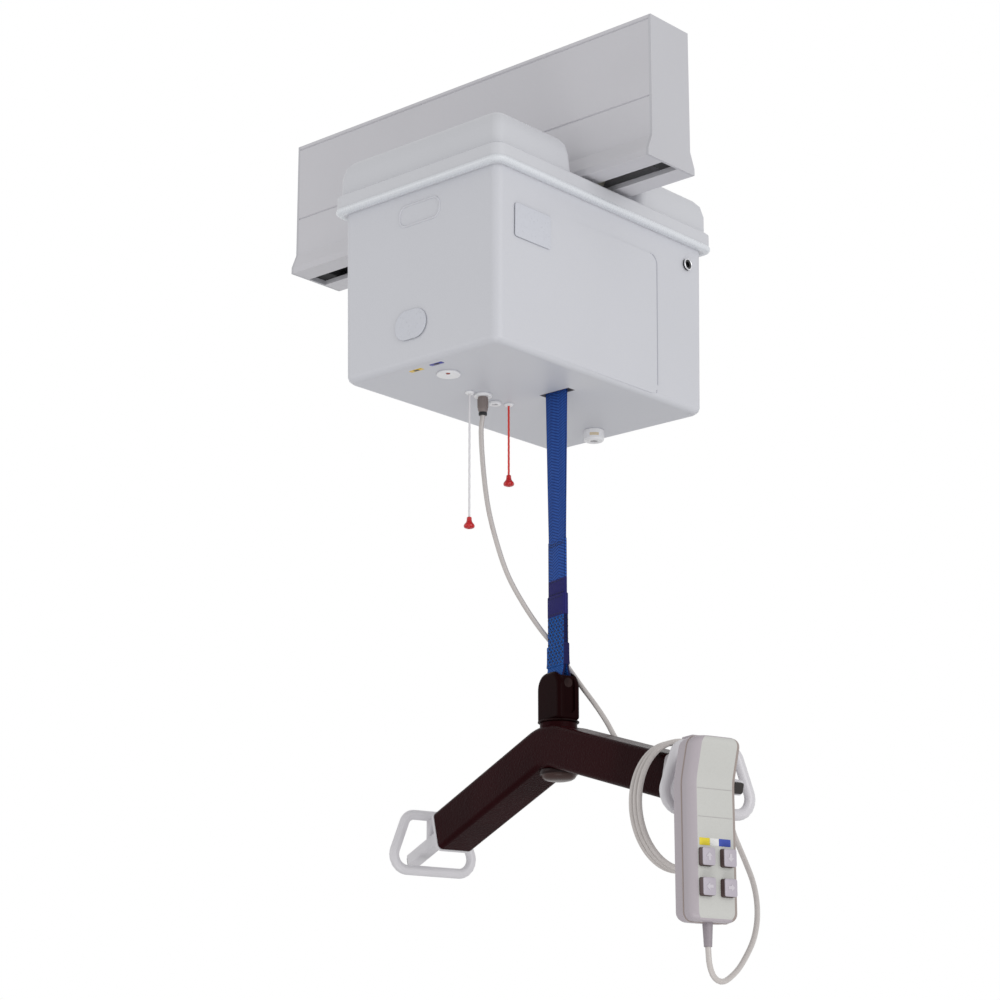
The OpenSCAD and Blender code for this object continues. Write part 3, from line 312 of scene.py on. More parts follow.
# Pull cords: laid nylon, 2.2 mm, one white and one red, each through a bush in the casing's floor and
# knotted inside a moulded red bell, 11 mm across, that a hand can find from below.
CASING_FLOOR = -352
cord_white = moulded("cord_white", chart(226, 224, 226), rough=0.7, grain=0.5, depth=0.05)
cord_red = moulded("cord_red", chart(214, 52, 44), rough=0.65, grain=0.5, depth=0.05)
bell_red = moulded("bell_red", chart(198, 20, 26), rough=0.24, grain=2.5, depth=0.01, drift=0.08)
bell_profile = [(0.9, 0.6), (1.9, 0.5), (2.4, 0), (2.5, -2.4), (2.8, -4), (3.8, -5.6), (5.0, -7),
                (5.45, -8.2), (5.4, -9.2), (4.9, -10.2), (3.6, -10.8), (1.5, -11), (1.2, -10.4), (0.6, -10.3)]


def turned(work, profile, at, sides=32, closed=False):
    """Adds a turned shape: (radius, height) pairs about an upright axis, with lids or as a closed ring."""
    angles = [2 * math.pi * k / sides for k in range(sides)]
    skin(work, [[at + Vector((r * math.cos(a), r * math.sin(a), z)) for a in angles] for r, z in profile],
         closed=closed)


for name, x, y, length, material in (("white", 35.4, -58.5, 129, cord_white), ("red", 38, -3, 75, cord_red)):
    top = Vector((x, y, CASING_FLOOR))
    foot = top - Vector((0, 0, length + 4))
    line = [top.lerp(foot, k / 60) for k in range(61)]
    work = bmesh.new()
    skin(work, [[at + Vector((a, b, 0)) for a, b in circle(1.02, 15, 3, 0.08, 0.45 * k)]
                for k, at in enumerate(line)])
    cord = piece(name + "_cord", work, material, smooth=60)
    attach(cord, name + "_pull")
    "cord_" + name
    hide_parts(name + "_pull")
    work = bmesh.new()
    turned(work, bell_profile, top - Vector((0, 0, length)))
    bell = piece(name + "_bell", work, bell_red)
    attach(bell, name + "_pull")
    reach(line) * MM
    [p * MM for p in line]

# Ceiling rail: an aluminium extrusion, 60 mm wide and 151 mm high with a flared foot, powder-coated white.
# Plastic caps close its ends, and rubber stops inside it keep the trolley from running out.


def coated(name, colour, rough=0.4, peel=2.2, depth=0.03, gloss=0.5, wear=0.03):
    """Powder coat: the soft orange peel of baked powder, and handling marks that dull it here and there."""
    def plan(add):
        waves = add.noise(add.place(), peel)
        dull = add.noise(add.place(), 120)
        return {
            "Base Color": add.mix(darker(colour, wear), colour, dull.step(0.3, 0.6)),
            "Roughness": rough + 0.14 * (dull - 0.5) + 0.08 * (waves - 0.5),
            "Specular IOR Level": gloss,
            "Normal": add.bump(waves, depth),
        }
    return finish(name, plan)


def coat(material, *names):
    """Gives CAD nodes a finish in place of their plain colour."""
    for name in names:
        for slot in nodes[name].material_slots:
            slot.material = material


coat(coated("rail_paint", chart(203, 202, 207)), "rail")
coat(moulded("end_cap", chart(194, 194, 199), rough=0.5), "rail_end_caps")
coat(moulded("stop_rubber", chart(38, 38, 40), rough=0.75, grain=0.5, depth=0.05), "end_stops")

# Trolley and hangers: a steel carriage with four nylon wheels that runs on the rail's lips,
# on ground axles, with two plated M10 bolts that carry the chassis through spacer tubes.


def ground(name, colour, rough=0.3, grain=(6, 0.2, 0.2), dull=0.25):
    """Worked metal: fine marks along one way, and a dull film in patches."""
    def plan(add):
        along = add.node("ShaderNodeMapping", {}, {"Vector": add.place(),
                                                   "Scale": tuple(1 / (g * MM) for g in grain)})
        lines = add.node("ShaderNodeTexNoise", {}, {"Vector": along, "Scale": 1.0, "Detail": 2.0})
        film = add.noise(add.place(), 22, 4.0).step(0.35, 0.7)
        return {
            "Base Color": add.mix(darker(colour, dull), colour, film),
            "Metallic": 1.0,
            "Roughness": rough + 0.22 * (lines - 0.5) + 0.14 * (1 - film),
            "Normal": add.bump(lines, 0.01),
        }
    return finish(name, plan)


steel = ground("steel", chart(188, 190, 194))
coat(steel, "trolley_frame", "trolley_axles", "hanger_bolts")
coat(moulded("wheel_plastic", chart(214, 210, 196), rough=0.38), "front_wheels", "rear_wheels")

# Chassis and lifting drive: folded steel plates carry the drum on ball bearings; a steel pinion on the
# gearmotor turns the brass gear and the drum, on which the blue strap is wound.
coat(ground("chassis_zinc", chart(176, 180, 186), rough=0.38, grain=(14, 3, 3), dull=0.35),
     "chassis_plate", "bearing_plates", "roller_bracket")
coat(steel, "drum_bearings", "drum_shaft", "drum_spool", "pinion", "swivel_stud", "cover_screws")
coat(ground("gear_brass", chart(206, 176, 98), rough=0.3, grain=(0.3, 4, 4)), "drum_gear")
coat(coated("motor_black", chart(44, 45, 48), rough=0.45), "lift_motor", "traverse_motor")
coat(moulded("roller_rubber", chart(36, 36, 38), rough=0.8, grain=0.6, depth=0.06), "drive_roller")

# Batteries and electronics: two sealed blocks on a moulded tray, with the control board on posts over them
# and two pull switches on the floor of the casing.
coat(moulded("tray_plastic", chart(70, 72, 76), rough=0.5), "battery_tray")
coat(moulded("battery_black", chart(34, 34, 38), rough=0.48), "batteries", "pull_switches")
coat(moulded("board_green", chart(30, 96, 52), rough=0.35, grain=1.5), "control_board", "handset_board")

# Casing: a drafted tub of white ABS, 202 x 316 x 177 mm, with a 7 mm rounded lower edge and a low raised
# panel on its end face. It is injection moulded with a fine spark-eroded grain, and a bead frames its
# side hatch.


def settled(obj):
    """Turns an object's modifiers into its plain mesh."""
    bpy.context.view_layer.update()
    result = bpy.data.meshes.new_from_object(obj.evaluated_get(bpy.context.evaluated_depsgraph_get()))
    obj.modifiers.clear()
    obj.data = result
    result.name = obj.name


def softened(node, name, material, radius, hard=40):
    """A copy of a CAD node on the hoist, its flats joined, its hard edges rounded and its shading even."""
    work = bmesh.new()
    work.from_mesh(nodes[node].data)
    bmesh.ops.remove_doubles(work, verts=work.verts[:], dist=0.01 * MM)
    bmesh.ops.dissolve_limit(work, angle_limit=math.radians(0.5), verts=work.verts[:], edges=work.edges[:])
    obj = piece(name, work, material, smooth=hard, outward=False)
    bevel = obj.modifiers.new("edges", "BEVEL")
    bevel.width = radius * MM
    bevel.segments = 2
    bevel.limit_method = "ANGLE"
    bevel.angle_limit = math.radians(hard)
    even = obj.modifiers.new("shading", "WEIGHTED_NORMAL")
    even.keep_sharp = True
    settled(obj)
    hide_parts(node)
    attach(obj, "hoist")


def rounded(corners, radii, steps=5):
    """A plane outline with each of its corners rounded."""
    line = []
    for i, radius in enumerate(radii):
        at = Vector(corners[i])
        back = (Vector(corners[i - 1]) - at).normalized()
        on = (Vector(corners[(i + 1) % len(corners)]) - at).normalized()
        half = back.angle(on) / 2
        centre = at + (back + on).normalized() * (radius / math.sin(half))
        start = at + back * (radius / math.tan(half)) - centre
        stop = at + on * (radius / math.tan(half)) - centre
        for k in range(steps + 1):
            line.append(centre + start.lerp(stop, k / steps).normalized() * radius)
    return line


def oblong(width, height, radius, steps=5):
    """A rounded rectangle about its middle."""
    a, b = width / 2, height / 2
    return rounded([(-a, -b), (a, -b), (a, b), (-a, b)], [radius] * 4, steps)


casing_plastic = moulded("casing_plastic", chart(205, 206, 212), rough=0.46, grain=1.1, depth=0.035,
                         drift=0.02)
softened("casing", "casing_shell", casing_plastic, 0.5)
mesh = nodes["casing"].data
casing_faces = BVHTree.FromPolygons([v.co for v in mesh.vertices], [p.vertices for p in mesh.polygons])
well_outside = 400
hatch_x, hatch_z = 61, -198
bead = [casing_faces.ray_cast(Vector((hatch_x + a, -well_outside, hatch_z + b)) * MM, AXIS_Y)[0] / MM
        for a, b in oblong(53, 21, 8.5, 8)]
work = bmesh.new()
skin(work, swept(bead, circle(1.1, 10), closed=True), closed=True)
hatch = piece("side_hatch_bead", work, casing_plastic)
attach(hatch, "hoist")
# A thin rod along the end panel's right edge, painted darker grey as painted shade where the panel's rounded
# edge turns away.
edge_shade = moulded("edge_shade", chart(170, 171, 180), rough=0.5, grain=1.1)
panel_y, panel_foot, panel_bend, panel_corner = 81.6, -346, -211, 10
edge = [(panel_y, panel_foot + (panel_bend - panel_foot) * k / 30) for k in range(31)]
for degrees in range(9, 91, 9):
    angle = math.radians(degrees)
    edge.append((panel_y - panel_corner * (1 - math.cos(angle)), panel_bend + panel_corner * math.sin(angle)))
edge = [casing_faces.ray_cast(Vector((well_outside, y, z)) * MM, -AXIS_X)[0] / MM for y, z in edge]
work = bmesh.new()
skin(work, swept(edge, circle(0.55, 8)))
panel_shade_line = piece("end_panel_shade_line", work, edge_shade)
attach(panel_shade_line, "hoist")

# Top cover: a second white moulding with a 20 mm rim band that overhangs the tub, and a lobe on each side of
# the rail. Its lower edge is a polished rolled lip, painted lighter as a painted highlight, and screws hold
# it down from above.
cover_plastic = moulded("cover_plastic", chart(206, 207, 212), rough=0.44, grain=1.1, depth=0.035, drift=0.02)
softened("top_cover", "cover_shell", cover_plastic, 0.5)
# The lip's lighter colour is a painted highlight.
lip_painted_highlight = moulded("lip_painted_highlight", chart(222, 225, 230), rough=0.28, grain=1.4, depth=0.01)
cover_x, lip_level, lip_inset = 60, -171.8, 3.6
lip_line = [Vector((cover_x + a, b, lip_level)) for a, b in oblong(222, 336, 11, 6)]
lip_outline = [(a, b - lip_inset) for a, b in oblong(7, 9.8, 3.4)]
work = bmesh.new()
skin(work, swept(lip_line, lip_outline, side=AXIS_Z, closed=True), closed=True)
lip = piece("cover_lip", work, lip_painted_highlight)
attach(lip, "hoist")

# Charging socket: a black moulded jack, pressed into the end face near its top edge,
# with a bright plated ring, 11 mm across, round its mouth.
socket_black = moulded("socket_black", chart(30, 30, 32), rough=0.35)
softened("charge_socket", "charge_jack", socket_black, 0.4)
jack_x, jack_y, jack_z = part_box("charge_socket")[1].x / MM, 132, -196
ring_line = [Vector((jack_x, jack_y + a, jack_z + b)) for a, b in circle(5.6, 32)]
work = bmesh.new()
skin(work, swept(ring_line, circle(0.75, 10), side=AXIS_X, closed=True), closed=True)
jack_chrome = ground("jack_chrome", chart(226, 226, 230), rough=0.12, dull=0.1)
jack_ring = piece("charge_jack_ring", work, jack_chrome)
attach(jack_ring, "hoist")

# Bare plates: an oval one on the side face and a square one on the end face, snap-on ABS with a satin face.
# Neither carries anything.
badge_plastic = moulded("badge_plastic", chart(203, 205, 213), rough=0.3, grain=3.0, depth=0.002)
softened("badges", "bare_plates", badge_plastic, 0.5)

# Underside fittings: white moulded sockets, bushes, a drum-shaped gland and an indicator disc with a red
# lens. They snap into the casing's floor; a dark disc in the gland's mouth is painted shade for its hollow.
fitting_white = moulded("fitting_white", chart(236, 236, 238), rough=0.36, grain=1.6, depth=0.012)
for node in ("sockets", "cord_bushes", "cable_gland", "indicator_disc"):
    softened(node, node + "_white", fitting_white, 0.7)
# A dark disc down in the gland's hole stands in for the shade inside it, as painted shade.
hole_shade_dark = moulded("hole_shade_dark", chart(66, 48, 42), rough=0.6)
lens_red = moulded("lens_red", chart(150, 62, 48), rough=0.2, grain=3.0, depth=0.005)
gland_x, gland_y = 44, 124
for name, at, radius, material in (("gland_mouth_shade", Vector((gland_x, gland_y, -360.5)), 3.95, hole_shade_dark),
                                   ("indicator_lens", Vector((64, -121, -354.4)), 2.4, lens_red)):
    work = bmesh.new()
    turned(work, [(radius, 1.5), (radius, 0), (radius * 0.8, -0.5), (radius * 0.4, -0.7), (0.1, -0.75)],
           at, sides=20)
    small = piece(name, work, material)
    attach(small, "hoist")
window_beige = moulded("window_beige", chart(214, 198, 170), rough=0.4)
window_plan = ((10.2, -356.6), (10.75, -356.8), (10.75, -359.6), (10.2, -359.8))
window_angles = [math.radians(t) for t in range(-74, -21, 4)]
work = bmesh.new()
skin(work, [[Vector((gland_x + r * math.cos(t), gland_y + r * math.sin(t), z)) for r, z in window_plan]
            for t in window_angles])
window = piece("gland_window", work, window_beige)
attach(window, "hoist")

# Direction labels: two printed film patches, 16 x 5 mm, yellow and blue with a dark middle,
# stuck on the casing's floor by its edge.


def slab(work, outline, at, across, up, thick, ease=0.15, sunk=0.1):
    """Adds a thin plate on a surface: an outline in millimetres, its middle and its two directions."""
    out = across.cross(up)
    wide = max(abs(a) for a, b in outline)
    tall = max(abs(b) for a, b in outline)
    skin(work, [[at + across * (a * (1 - cut / wide)) + up * (b * (1 - cut / tall)) + out * lift
                 for a, b in outline] for cut, lift in ((0, -sunk), (0, thick - ease), (ease, thick))])


label_yellow = moulded("label_yellow", chart(226, 188, 30), rough=0.35)
label_blue = moulded("label_blue", chart(44, 48, 150), rough=0.35)
print_dark = moulded("print_dark", chart(44, 34, 34), rough=0.4)
for name, x, y, material in (("label_a", 43, -143, label_yellow), ("label_b", 71, -144.5, label_blue)):
    at = Vector((x, y, CASING_FLOOR))
    for part, width, height, thick, ink in (("film", 16, 5.2, 0.25, material),
                                            ("mark", 6.5, 3.2, 0.35, print_dark)):
        work = bmesh.new()
        slab(work, oblong(width, height, 0.8), at, AXIS_X, -AXIS_Y, thick, ease=0.08)
        patch = piece(name + "_" + part, work, ink)
        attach(patch, "hoist")

# Strap guide: a moulded liner, flush in the slot of the casing's floor, that snaps in from inside;
# the strap runs near its far side, and the dark inside of the casing shows past it.
guide_plastic = moulded("guide_plastic", chart(120, 116, 120), rough=0.5)
softened("strap_guide", "strap_liner", guide_plastic, 0.3)

# Handset plug: a brown-grey moulded plug, 10 mm across, pushed into its socket in the casing's floor,
# with fourteen grip ribs and a black collar where the cable goes in.
plug_brown = moulded("plug_brown", chart(128, 117, 114), rough=0.5)
softened("handset_plug", "plug_body", plug_brown, 0.5)


def repeated(name, material, sizes, build):
    """A plain mesh from Geometry Nodes: sizes are the tree's named inputs, and build gives its instances."""
    tree = bpy.data.node_groups.new(name, "GeometryNodeTree")
    tree.interface.new_socket("Geometry", in_out="OUTPUT", socket_type="NodeSocketGeometry")
    keys = {}
    for key, value in sizes.items():
        kind = {int: "NodeSocketInt", float: "NodeSocketFloat", tuple: "NodeSocketVector"}[type(value)]
        keys[key] = tree.interface.new_socket(key, in_out="INPUT", socket_type=kind).identifier
    given = tree.nodes.new("NodeGroupInput")
    instances = build(Shade(tree), {key: Shade(tree, given.outputs[key]) for key in sizes})
    solid = instances.node("GeometryNodeRealizeInstances", {}, {0: instances})
    painted = solid.node("GeometryNodeSetMaterial", {}, {"Geometry": solid, "Material": material})
    tree.links.new(painted.socket, tree.nodes.new("NodeGroupOutput").inputs[0])
    obj = bpy.data.objects.new(name, bpy.data.meshes.new(name))
    scene.collection.objects.link(obj)
    nodes_modifier = obj.modifiers.new("nodes", "NODES")
    nodes_modifier.node_group = tree
    for key, value in sizes.items():
        nodes_modifier[keys[key]] = value
    settled(obj)
    return obj


def grip_ribs(add, size):
    """Upright round ribs on a circle."""
    ring = add.node("GeometryNodeMeshCircle", {}, {"Vertices": size["Count"], "Radius": size["Radius"]})
    rib = add.node("GeometryNodeMeshCylinder", {}, {"Vertices": 8, "Radius": size["Rib Radius"],
                                                    "Depth": size["Length"]})
    return add.node("GeometryNodeInstanceOnPoints", {}, {"Points": ring, "Instance": rib})


ribs = repeated("plug_ribs", plug_brown, {"Count": 14, "Radius": 5.0 * MM, "Rib Radius": 0.5 * MM,
                                          "Length": 9.0 * MM}, grip_ribs)
ribs.data.transform(Matrix.Translation((plug_foot + AXIS_Z * 12.5) * MM))
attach(ribs, "hoist")
work = bmesh.new()
collar_profile = [(4.1, 0.1), (4.3, -0.3), (4.3, -2.6), (3.8, -3.1), (2.7, -3.2)]
turned(work, collar_profile, plug_foot + AXIS_Z * 3, sides=24)
collar = piece("plug_collar", work, socket_black)
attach(collar, "hoist")

# Lifting strap: woven polyester webbing, 30 x 2.2 mm, dyed navy blue in a herringbone weave. It comes off
# the drum along the rail and turns 17 degrees to the bar on its way down.


def webbing(name, light, dark, thread, row, depth, turn):
    """Webbing on a UV map in metres: warp threads side by side, each over and under the weft in turn."""
    def plan(add):
        across = add.node("ShaderNodeSeparateXYZ", {}, {"Vector": add.place("UV")}, "X") * (1 / (thread * MM))
        along = add.node("ShaderNodeSeparateXYZ", {}, {"Vector": add.place("UV")}, "Y") * (1 / (row * MM))
        strand = across.math("FLOOR", across)
        bent = along + strand.math("PINGPONG", strand, 6.0) * turn
        over = bent.math("SINE", bent * (2 * math.pi)) * 0.5 + 0.5
        inside = across.math("FRACT", across)
        height = inside.math("SINE", inside * math.pi) * (0.35 + 0.65 * over)
        fuzz = add.noise(add.place(), 0.5)
        return {
            # Painted shade: the colour goes dark down in the hollows between the threads.
            "Base Color": add.mix(dark, light, height.step(0.05, 0.75)),
            "Roughness": 0.62 + 0.2 * fuzz,
            "Specular IOR Level": 0.15,
            "Normal": add.bump(height + 0.2 * fuzz, depth),
        }
    return finish(name, plan)


def flat(width, thick):
    """The outline of a strap: flat faces and rounded edges."""
    half, r = width / 2 - thick / 2, thick / 2
    return [(side * (half + r * math.cos(math.radians(t))), side * r * math.sin(math.radians(t)))
            for side in (1, -1) for t in range(-90, 91, 30)]


webbing_blue = webbing("webbing_blue", chart(52, 98, 186), chart(12, 28, 78), 1.9, 3.0, 0.25, 0.25)
strap_wide = 30
strap_x, strap_y = BAR_HUB[:2]
strap_top, strap_drop, turn_drop = -277, 301, 221
outline = flat(strap_wide, 2.2)
heights = [strap_top - strap_drop * k / 70 for k in range(71)]
rings = []
for z in heights:
    turn = -BAR_TURN * min(1, (strap_top - z) / turn_drop)
    rings.append([Vector((strap_x + a * math.cos(turn) - b * math.sin(turn),
                          strap_y + a * math.sin(turn) + b * math.cos(turn), z)) for a, b in outline])
work = bmesh.new()
skin(work, rings, weave=lambda ring, at: (outline[at][0] * MM + 1, -heights[ring] * MM))
strap = piece("strap_webbing", work, webbing_blue, smooth=50)
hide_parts("lifting_strap")
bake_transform(strap)
coat(moulded("wound_webbing", chart(36, 68, 135), rough=0.75, grain=0.7, depth=0.1), "wound_strap")

# Strap label: a navy woven sleeve, 37 mm long and in two thicknesses,
# sewn over the strap's folded end and left plain.
label_navy = webbing("label_navy", chart(48, 46, 116), chart(24, 22, 70), 1.0, 1.3, 0.08, 0.5)
work = bmesh.new()
for top, foot, width, thick in ((163, 146, 30.8, 3.2), (147, 126, 31.8, 6.0)):
    steps = ((top, 0.7), (top - 0.6, 0), (foot + 0.6, 0), (foot, 0.7))
    skin(work, [[bar_point(a, b, z) for a, b in flat(width - cut, thick - cut)] for z, cut in steps],
         weave=lambda ring, at: (flat(width, thick)[at][0] * MM + 1, steps[ring][0] * MM))
label = piece("strap_label", work, label_navy, smooth=50)
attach(label, "strap_end")

# Sewn eye: the strap's end folded round the yoke's pin, two layers 2.3 mm thick in a brighter blue, with a
# reinforcing wrap over its lower half. Its tail runs on above the label as a flap, and rows of dark
# bar-tack and hem stitches hold all the layers.


def faced(obj, material, way, share):
    """Gives the faces that look one way a second finish."""
    obj.data.materials.append(material)
    for face in obj.data.polygons:
        if face.normal.dot(way) > share:
            face.material_index = len(obj.data.materials) - 1


webbing_sewn = webbing("webbing_sewn", chart(38, 104, 186), chart(14, 40, 104), 2.3, 2.8, 0.3, 0.5)
edge_navy = webbing("edge_navy", chart(30, 28, 80), chart(14, 13, 46), 1.0, 1.3, 0.1, 0.5)
side = [(1.35, 127), (1.35, 112), (1.35, 97), (1.4, 86), (1.7, 77), (2.5, 71), (4.0, 66), (5.6, 61.5),
        (6.3, 58.5), (6.1, 56), (5.0, 53.5), (2.8, 52), (0, 51.7)]
far_side = [(-v, z) for v, z in side[-2::-1]]
eye_line = flowing([bar_point(0, v, z) for v, z in side + far_side], 3)[0]
outline = flat(strap_wide, 2.3)
gone = [reach(eye_line[:k + 1]) for k in range(len(eye_line))]
work = bmesh.new()
skin(work, swept(eye_line, outline, side=U),
     weave=lambda ring, at: (outline[at][0] * MM + 1, gone[ring] * MM))
wrap = flat(31.4, 1)
wrap_steps = [(97.6, 5.4), (96.6, 6.4), (88, 6.4), (81, 6.6), (77.5, 7.4), (76.4, 6.8)]
skin(work, [[bar_point(a, b * thick, z) for a, b in wrap] for z, thick in wrap_steps],
     weave=lambda ring, at: (wrap[at][0] * MM + 1, wrap_steps[ring][0] * MM))
eye = piece("strap_eye", work, webbing_sewn, smooth=50)
faced(eye, edge_navy, U, 0.6)
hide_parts("strap_loop")
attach(eye, "strap_end")
flap = flat(30.1, 1)
flap_steps = [(202, 2.3), (201.6, 2.8), (181, 2.8), (160, 2.8)]
work = bmesh.new()
skin(work, [[bar_point(a, b * thick, z) for a, b in flap] for z, thick in flap_steps],
     weave=lambda ring, at: (flap[at][0] * MM + 1, flap_steps[ring][0] * MM))
sewn_tail = piece("strap_tail", work, webbing_blue, smooth=50)
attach(sewn_tail, "strap_end")
thread_dark = moulded("thread_dark", chart(10, 14, 48), rough=0.7, grain=0.4, depth=0.05)


def stitch_rows(add, size):
    """Short stitches on a grid of rows and columns, with every other row moved along by the stagger."""
    grid = add.node("GeometryNodeMeshGrid", {}, {"Size X": size["Width"], "Size Y": size["Height"],
                                                 "Vertices X": size["Columns"], "Vertices Y": size["Rows"]})
    row = add.math("MODULO", add.node("GeometryNodeInputIndex", {}, {}), size["Rows"])
    shift = (row.math("MODULO", row, 2.0) - 0.5) * size["Stagger"]
    rows = add.node("GeometryNodeSetPosition", {}, {
        "Geometry": grid, "Offset": add.node("ShaderNodeCombineXYZ", {}, {"X": shift})})
    stitch = add.node("GeometryNodeMeshUVSphere", {}, {"Segments": 6, "Rings": 4, "Radius": MM})
    return add.node("GeometryNodeInstanceOnPoints", {}, {"Points": rows, "Instance": stitch,
                                                         "Scale": size["Stitch"]})


tack, hem = (1.3, 1.1, 0.6), (1.5, 0.45, 0.4)
for names, lift, low, high, columns, rows, stitch in (
        (("sewing_a", "sewing_b"), 2.6, 99, 124, 5, 9, tack),
        (("sewing_c", "sewing_d"), 3.4, 79, 95, 5, 6, tack),
        (("end_row_a", "end_row_b"), 1.4, 197, 199, 8, 2, hem),
        (("hem_a", "hem_b"), 1.6, 148.5, 161, 7, 2, hem),
        (("hem_c", "hem_d"), 3.0, 128, 144.5, 7, 2, hem)):
    for name, face in zip(names, (-1, 1)):
        sewing = repeated(name, thread_dark, {
            "Columns": columns, "Rows": rows, "Width": 23 * MM, "Height": (high - low) * MM,
            "Stitch": stitch, "Stagger": 2.8 * MM if stitch == tack else 0.0}, stitch_rows)
        place = Matrix((U, AXIS_Z, V * -face)).transposed().to_4x4()
        place.translation = bar_point(0, face * lift, (low + high) / 2) * MM
        sewing.data.transform(place)
        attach(sewing, "strap_end")

# Yoke: a dark painted casting, 40 x 25 mm with an arched top, hollow for the strap's eye, which it holds on
# a steel pin that shows in a channel on each side; it turns on a stud through the bar.


def bored(obj, work, smooth=40):
    """Cuts the shape in a bmesh out of a piece, then marks its new edges and evens its shading."""
    tool = piece(obj.name + "_tool", work, obj.data.materials[0])
    cut = obj.modifiers.new("bore", "BOOLEAN")
    cut.object = tool
    cut.solver = "EXACT"
    settled(obj)
    bpy.data.objects.remove(tool)
    work = bmesh.new()
    work.from_mesh(obj.data)
    for edge in work.edges:
        edge.smooth = edge.calc_face_angle(0.0) < math.radians(smooth)
    work.to_mesh(obj.data)
    work.free()
    even = obj.modifiers.new("shading", "WEIGHTED_NORMAL")
    even.keep_sharp = True
    settled(obj)


yoke_black = coated("yoke_black", chart(28, 8, 9), rough=0.3, peel=3.0, depth=0.06, gloss=0.016, wear=0.2)
half_wide, half_tall, yoke_mid, pin_level = 20, 24, 46, 58
foot, crown = yoke_mid - half_tall, yoke_mid + half_tall
arch = rounded([(-half_wide, foot), (half_wide, foot), (half_wide, crown), (-half_wide, crown)],
               [2.5, 2.5, 15, 15], 8)
face_steps = [(12.5, 4), (12.2, 2.6), (11.4, 1.3), (10, 0.4), (8.4, 0)]
work = bmesh.new()
skin(work, [[bar_point(u * (1 - cut / half_wide), v, yoke_mid + (z - yoke_mid) * (1 - cut / half_tall))
             for u, z in arch] for v, cut in [(-v, cut) for v, cut in face_steps] + face_steps[::-1]])
yoke = piece("yoke_block", work, yoke_black, smooth=50)
work = bmesh.new()
skin(work, [[bar_point(a, b, z) for a, b in oblong(32, 17.6, 2)] for z in (48, 90)])
bored(yoke, work, smooth=50)
work = bmesh.new()
for way in (-1, 1):
    skin(work, [[bar_point(way * u, a, pin_level + b) for a, b in oblong(12, 60, 5.5)] for u in (17.6, 30)])
bored(yoke, work, smooth=50)
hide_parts("yoke")
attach(yoke, "yoke")
pin_black = coated("pin_black", chart(34, 20, 20), rough=0.45, gloss=0.03)
pin_steel = ground("pin_steel", chart(46, 35, 34), rough=0.3, dull=0.6)
work = bmesh.new()
skin(work, [[bar_point(u, a, pin_level + b) for a, b in circle(radius, 24)]
            for u, radius in ((-17.8, 4.6), (-17.4, 5), (17.4, 5), (17.8, 4.6))])
pin = piece("yoke_pin_turned", work, pin_steel)
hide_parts("yoke_pin")
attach(pin, "yoke")
hub = bar_point(0, 0, 0)
work = bmesh.new()
turned(work, [(19.6, 22.6), (20, 22.2), (20, 21.5), (19.6, 21.1)], hub, sides=48)
disc = piece("yoke_disc", work, pin_black)
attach(disc, "yoke")

# Spreader bar: 40 mm square steel tube with 5 mm corners, bent 33 degrees in the middle on a 70 mm radius,
# with a welded boss for the swivel, in dark brown hammered paint.
bar_paint = coated("bar_paint", chart(40, 11, 14), rough=0.3, peel=1.9, depth=0.4, gloss=0.018, wear=0.3)
bend, arm, droop = 70.0, 209.0, math.radians(16.5)
short = bend * math.tan(droop)
left_arm = [(s * math.cos(droop), s * math.sin(droop), -droop)
            for s in (-arm, -arm + 1.2, -150, -100, -60, -short)]
elbow = []
for k in range(1, 12):
    angle = -droop + 2 * droop * k / 12
    elbow.append((bend * math.sin(angle), -bend / math.cos(droop) + bend * math.cos(angle), angle))
line = left_arm + elbow + [(-u, z, -angle) for u, z, angle in left_arm[::-1]]
eased = [0.97] + [1.0] * (len(line) - 2) + [0.97]
tube = oblong(40, 40, 5, 5)
work = bmesh.new()
skin(work, [[bar_point(u + b * ease * math.sin(angle), a * ease, z + b * ease * math.cos(angle))
             for a, b in tube] for (u, z, angle), ease in zip(line, eased)])
bar = piece("bar_tube", work, bar_paint)
work = bmesh.new()
turned(work, [(18.05, -60), (18.05, 40)], hub, sides=48)
bored(bar, work)
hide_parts("spreader_bar")
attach(bar, "bar")
work = bmesh.new()
turned(work, [(8.3, -24), (17.2, -24), (18, -23.2), (18, 20.2), (17.2, 21), (8.3, 21)], hub, sides=48,
       closed=True)
boss = piece("bar_boss", work, bar_paint)
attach(boss, "bar")

# Swivel cap: a moulded cap, 37 mm across, that clips over the swivel's nut under the bar,
# with a dark rim and a low dome painted paler as a painted highlight.
# The dome's paler colour is a painted highlight.
cap_dome_highlight = coated("cap_dome_highlight", chart(74, 56, 53), rough=0.3, gloss=0.15, wear=0.3)
cap_dark = coated("cap_dark", chart(34, 20, 20), rough=0.3, gloss=0.1)
for name, material, profile in (
        ("cap_rim", cap_dark, [(18, -24.4), (18.5, -24.9), (18.5, -28.2), (17.9, -28.8), (17, -28.9)]),
        ("cap_dome", cap_dome_highlight, [(16.9, -27), (17, -29), (16.6, -30.6), (15.4, -32.2), (12.8, -33.7),
                                 (9, -34.6), (4.5, -34.9), (0.5, -35)])):
    work = bmesh.new()
    turned(work, profile, hub, sides=48)
    cap = piece(name, work, material, smooth=50)
    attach(cap, "bar")
    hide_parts("swivel_cap")

# Sling hooks: cast rings of 9 mm rod on square tongues that plug into the bar's ends with a flange,
# powder-coated white, with a dark plug in each tongue's end.


def arm_point(way, x, v, z):
    """A point on one arm's own axes: out along it, across it and up from its middle."""
    return bar_point(way * (x * math.cos(droop) + z * math.sin(droop)), v,
                     z * math.cos(droop) - x * math.sin(droop))


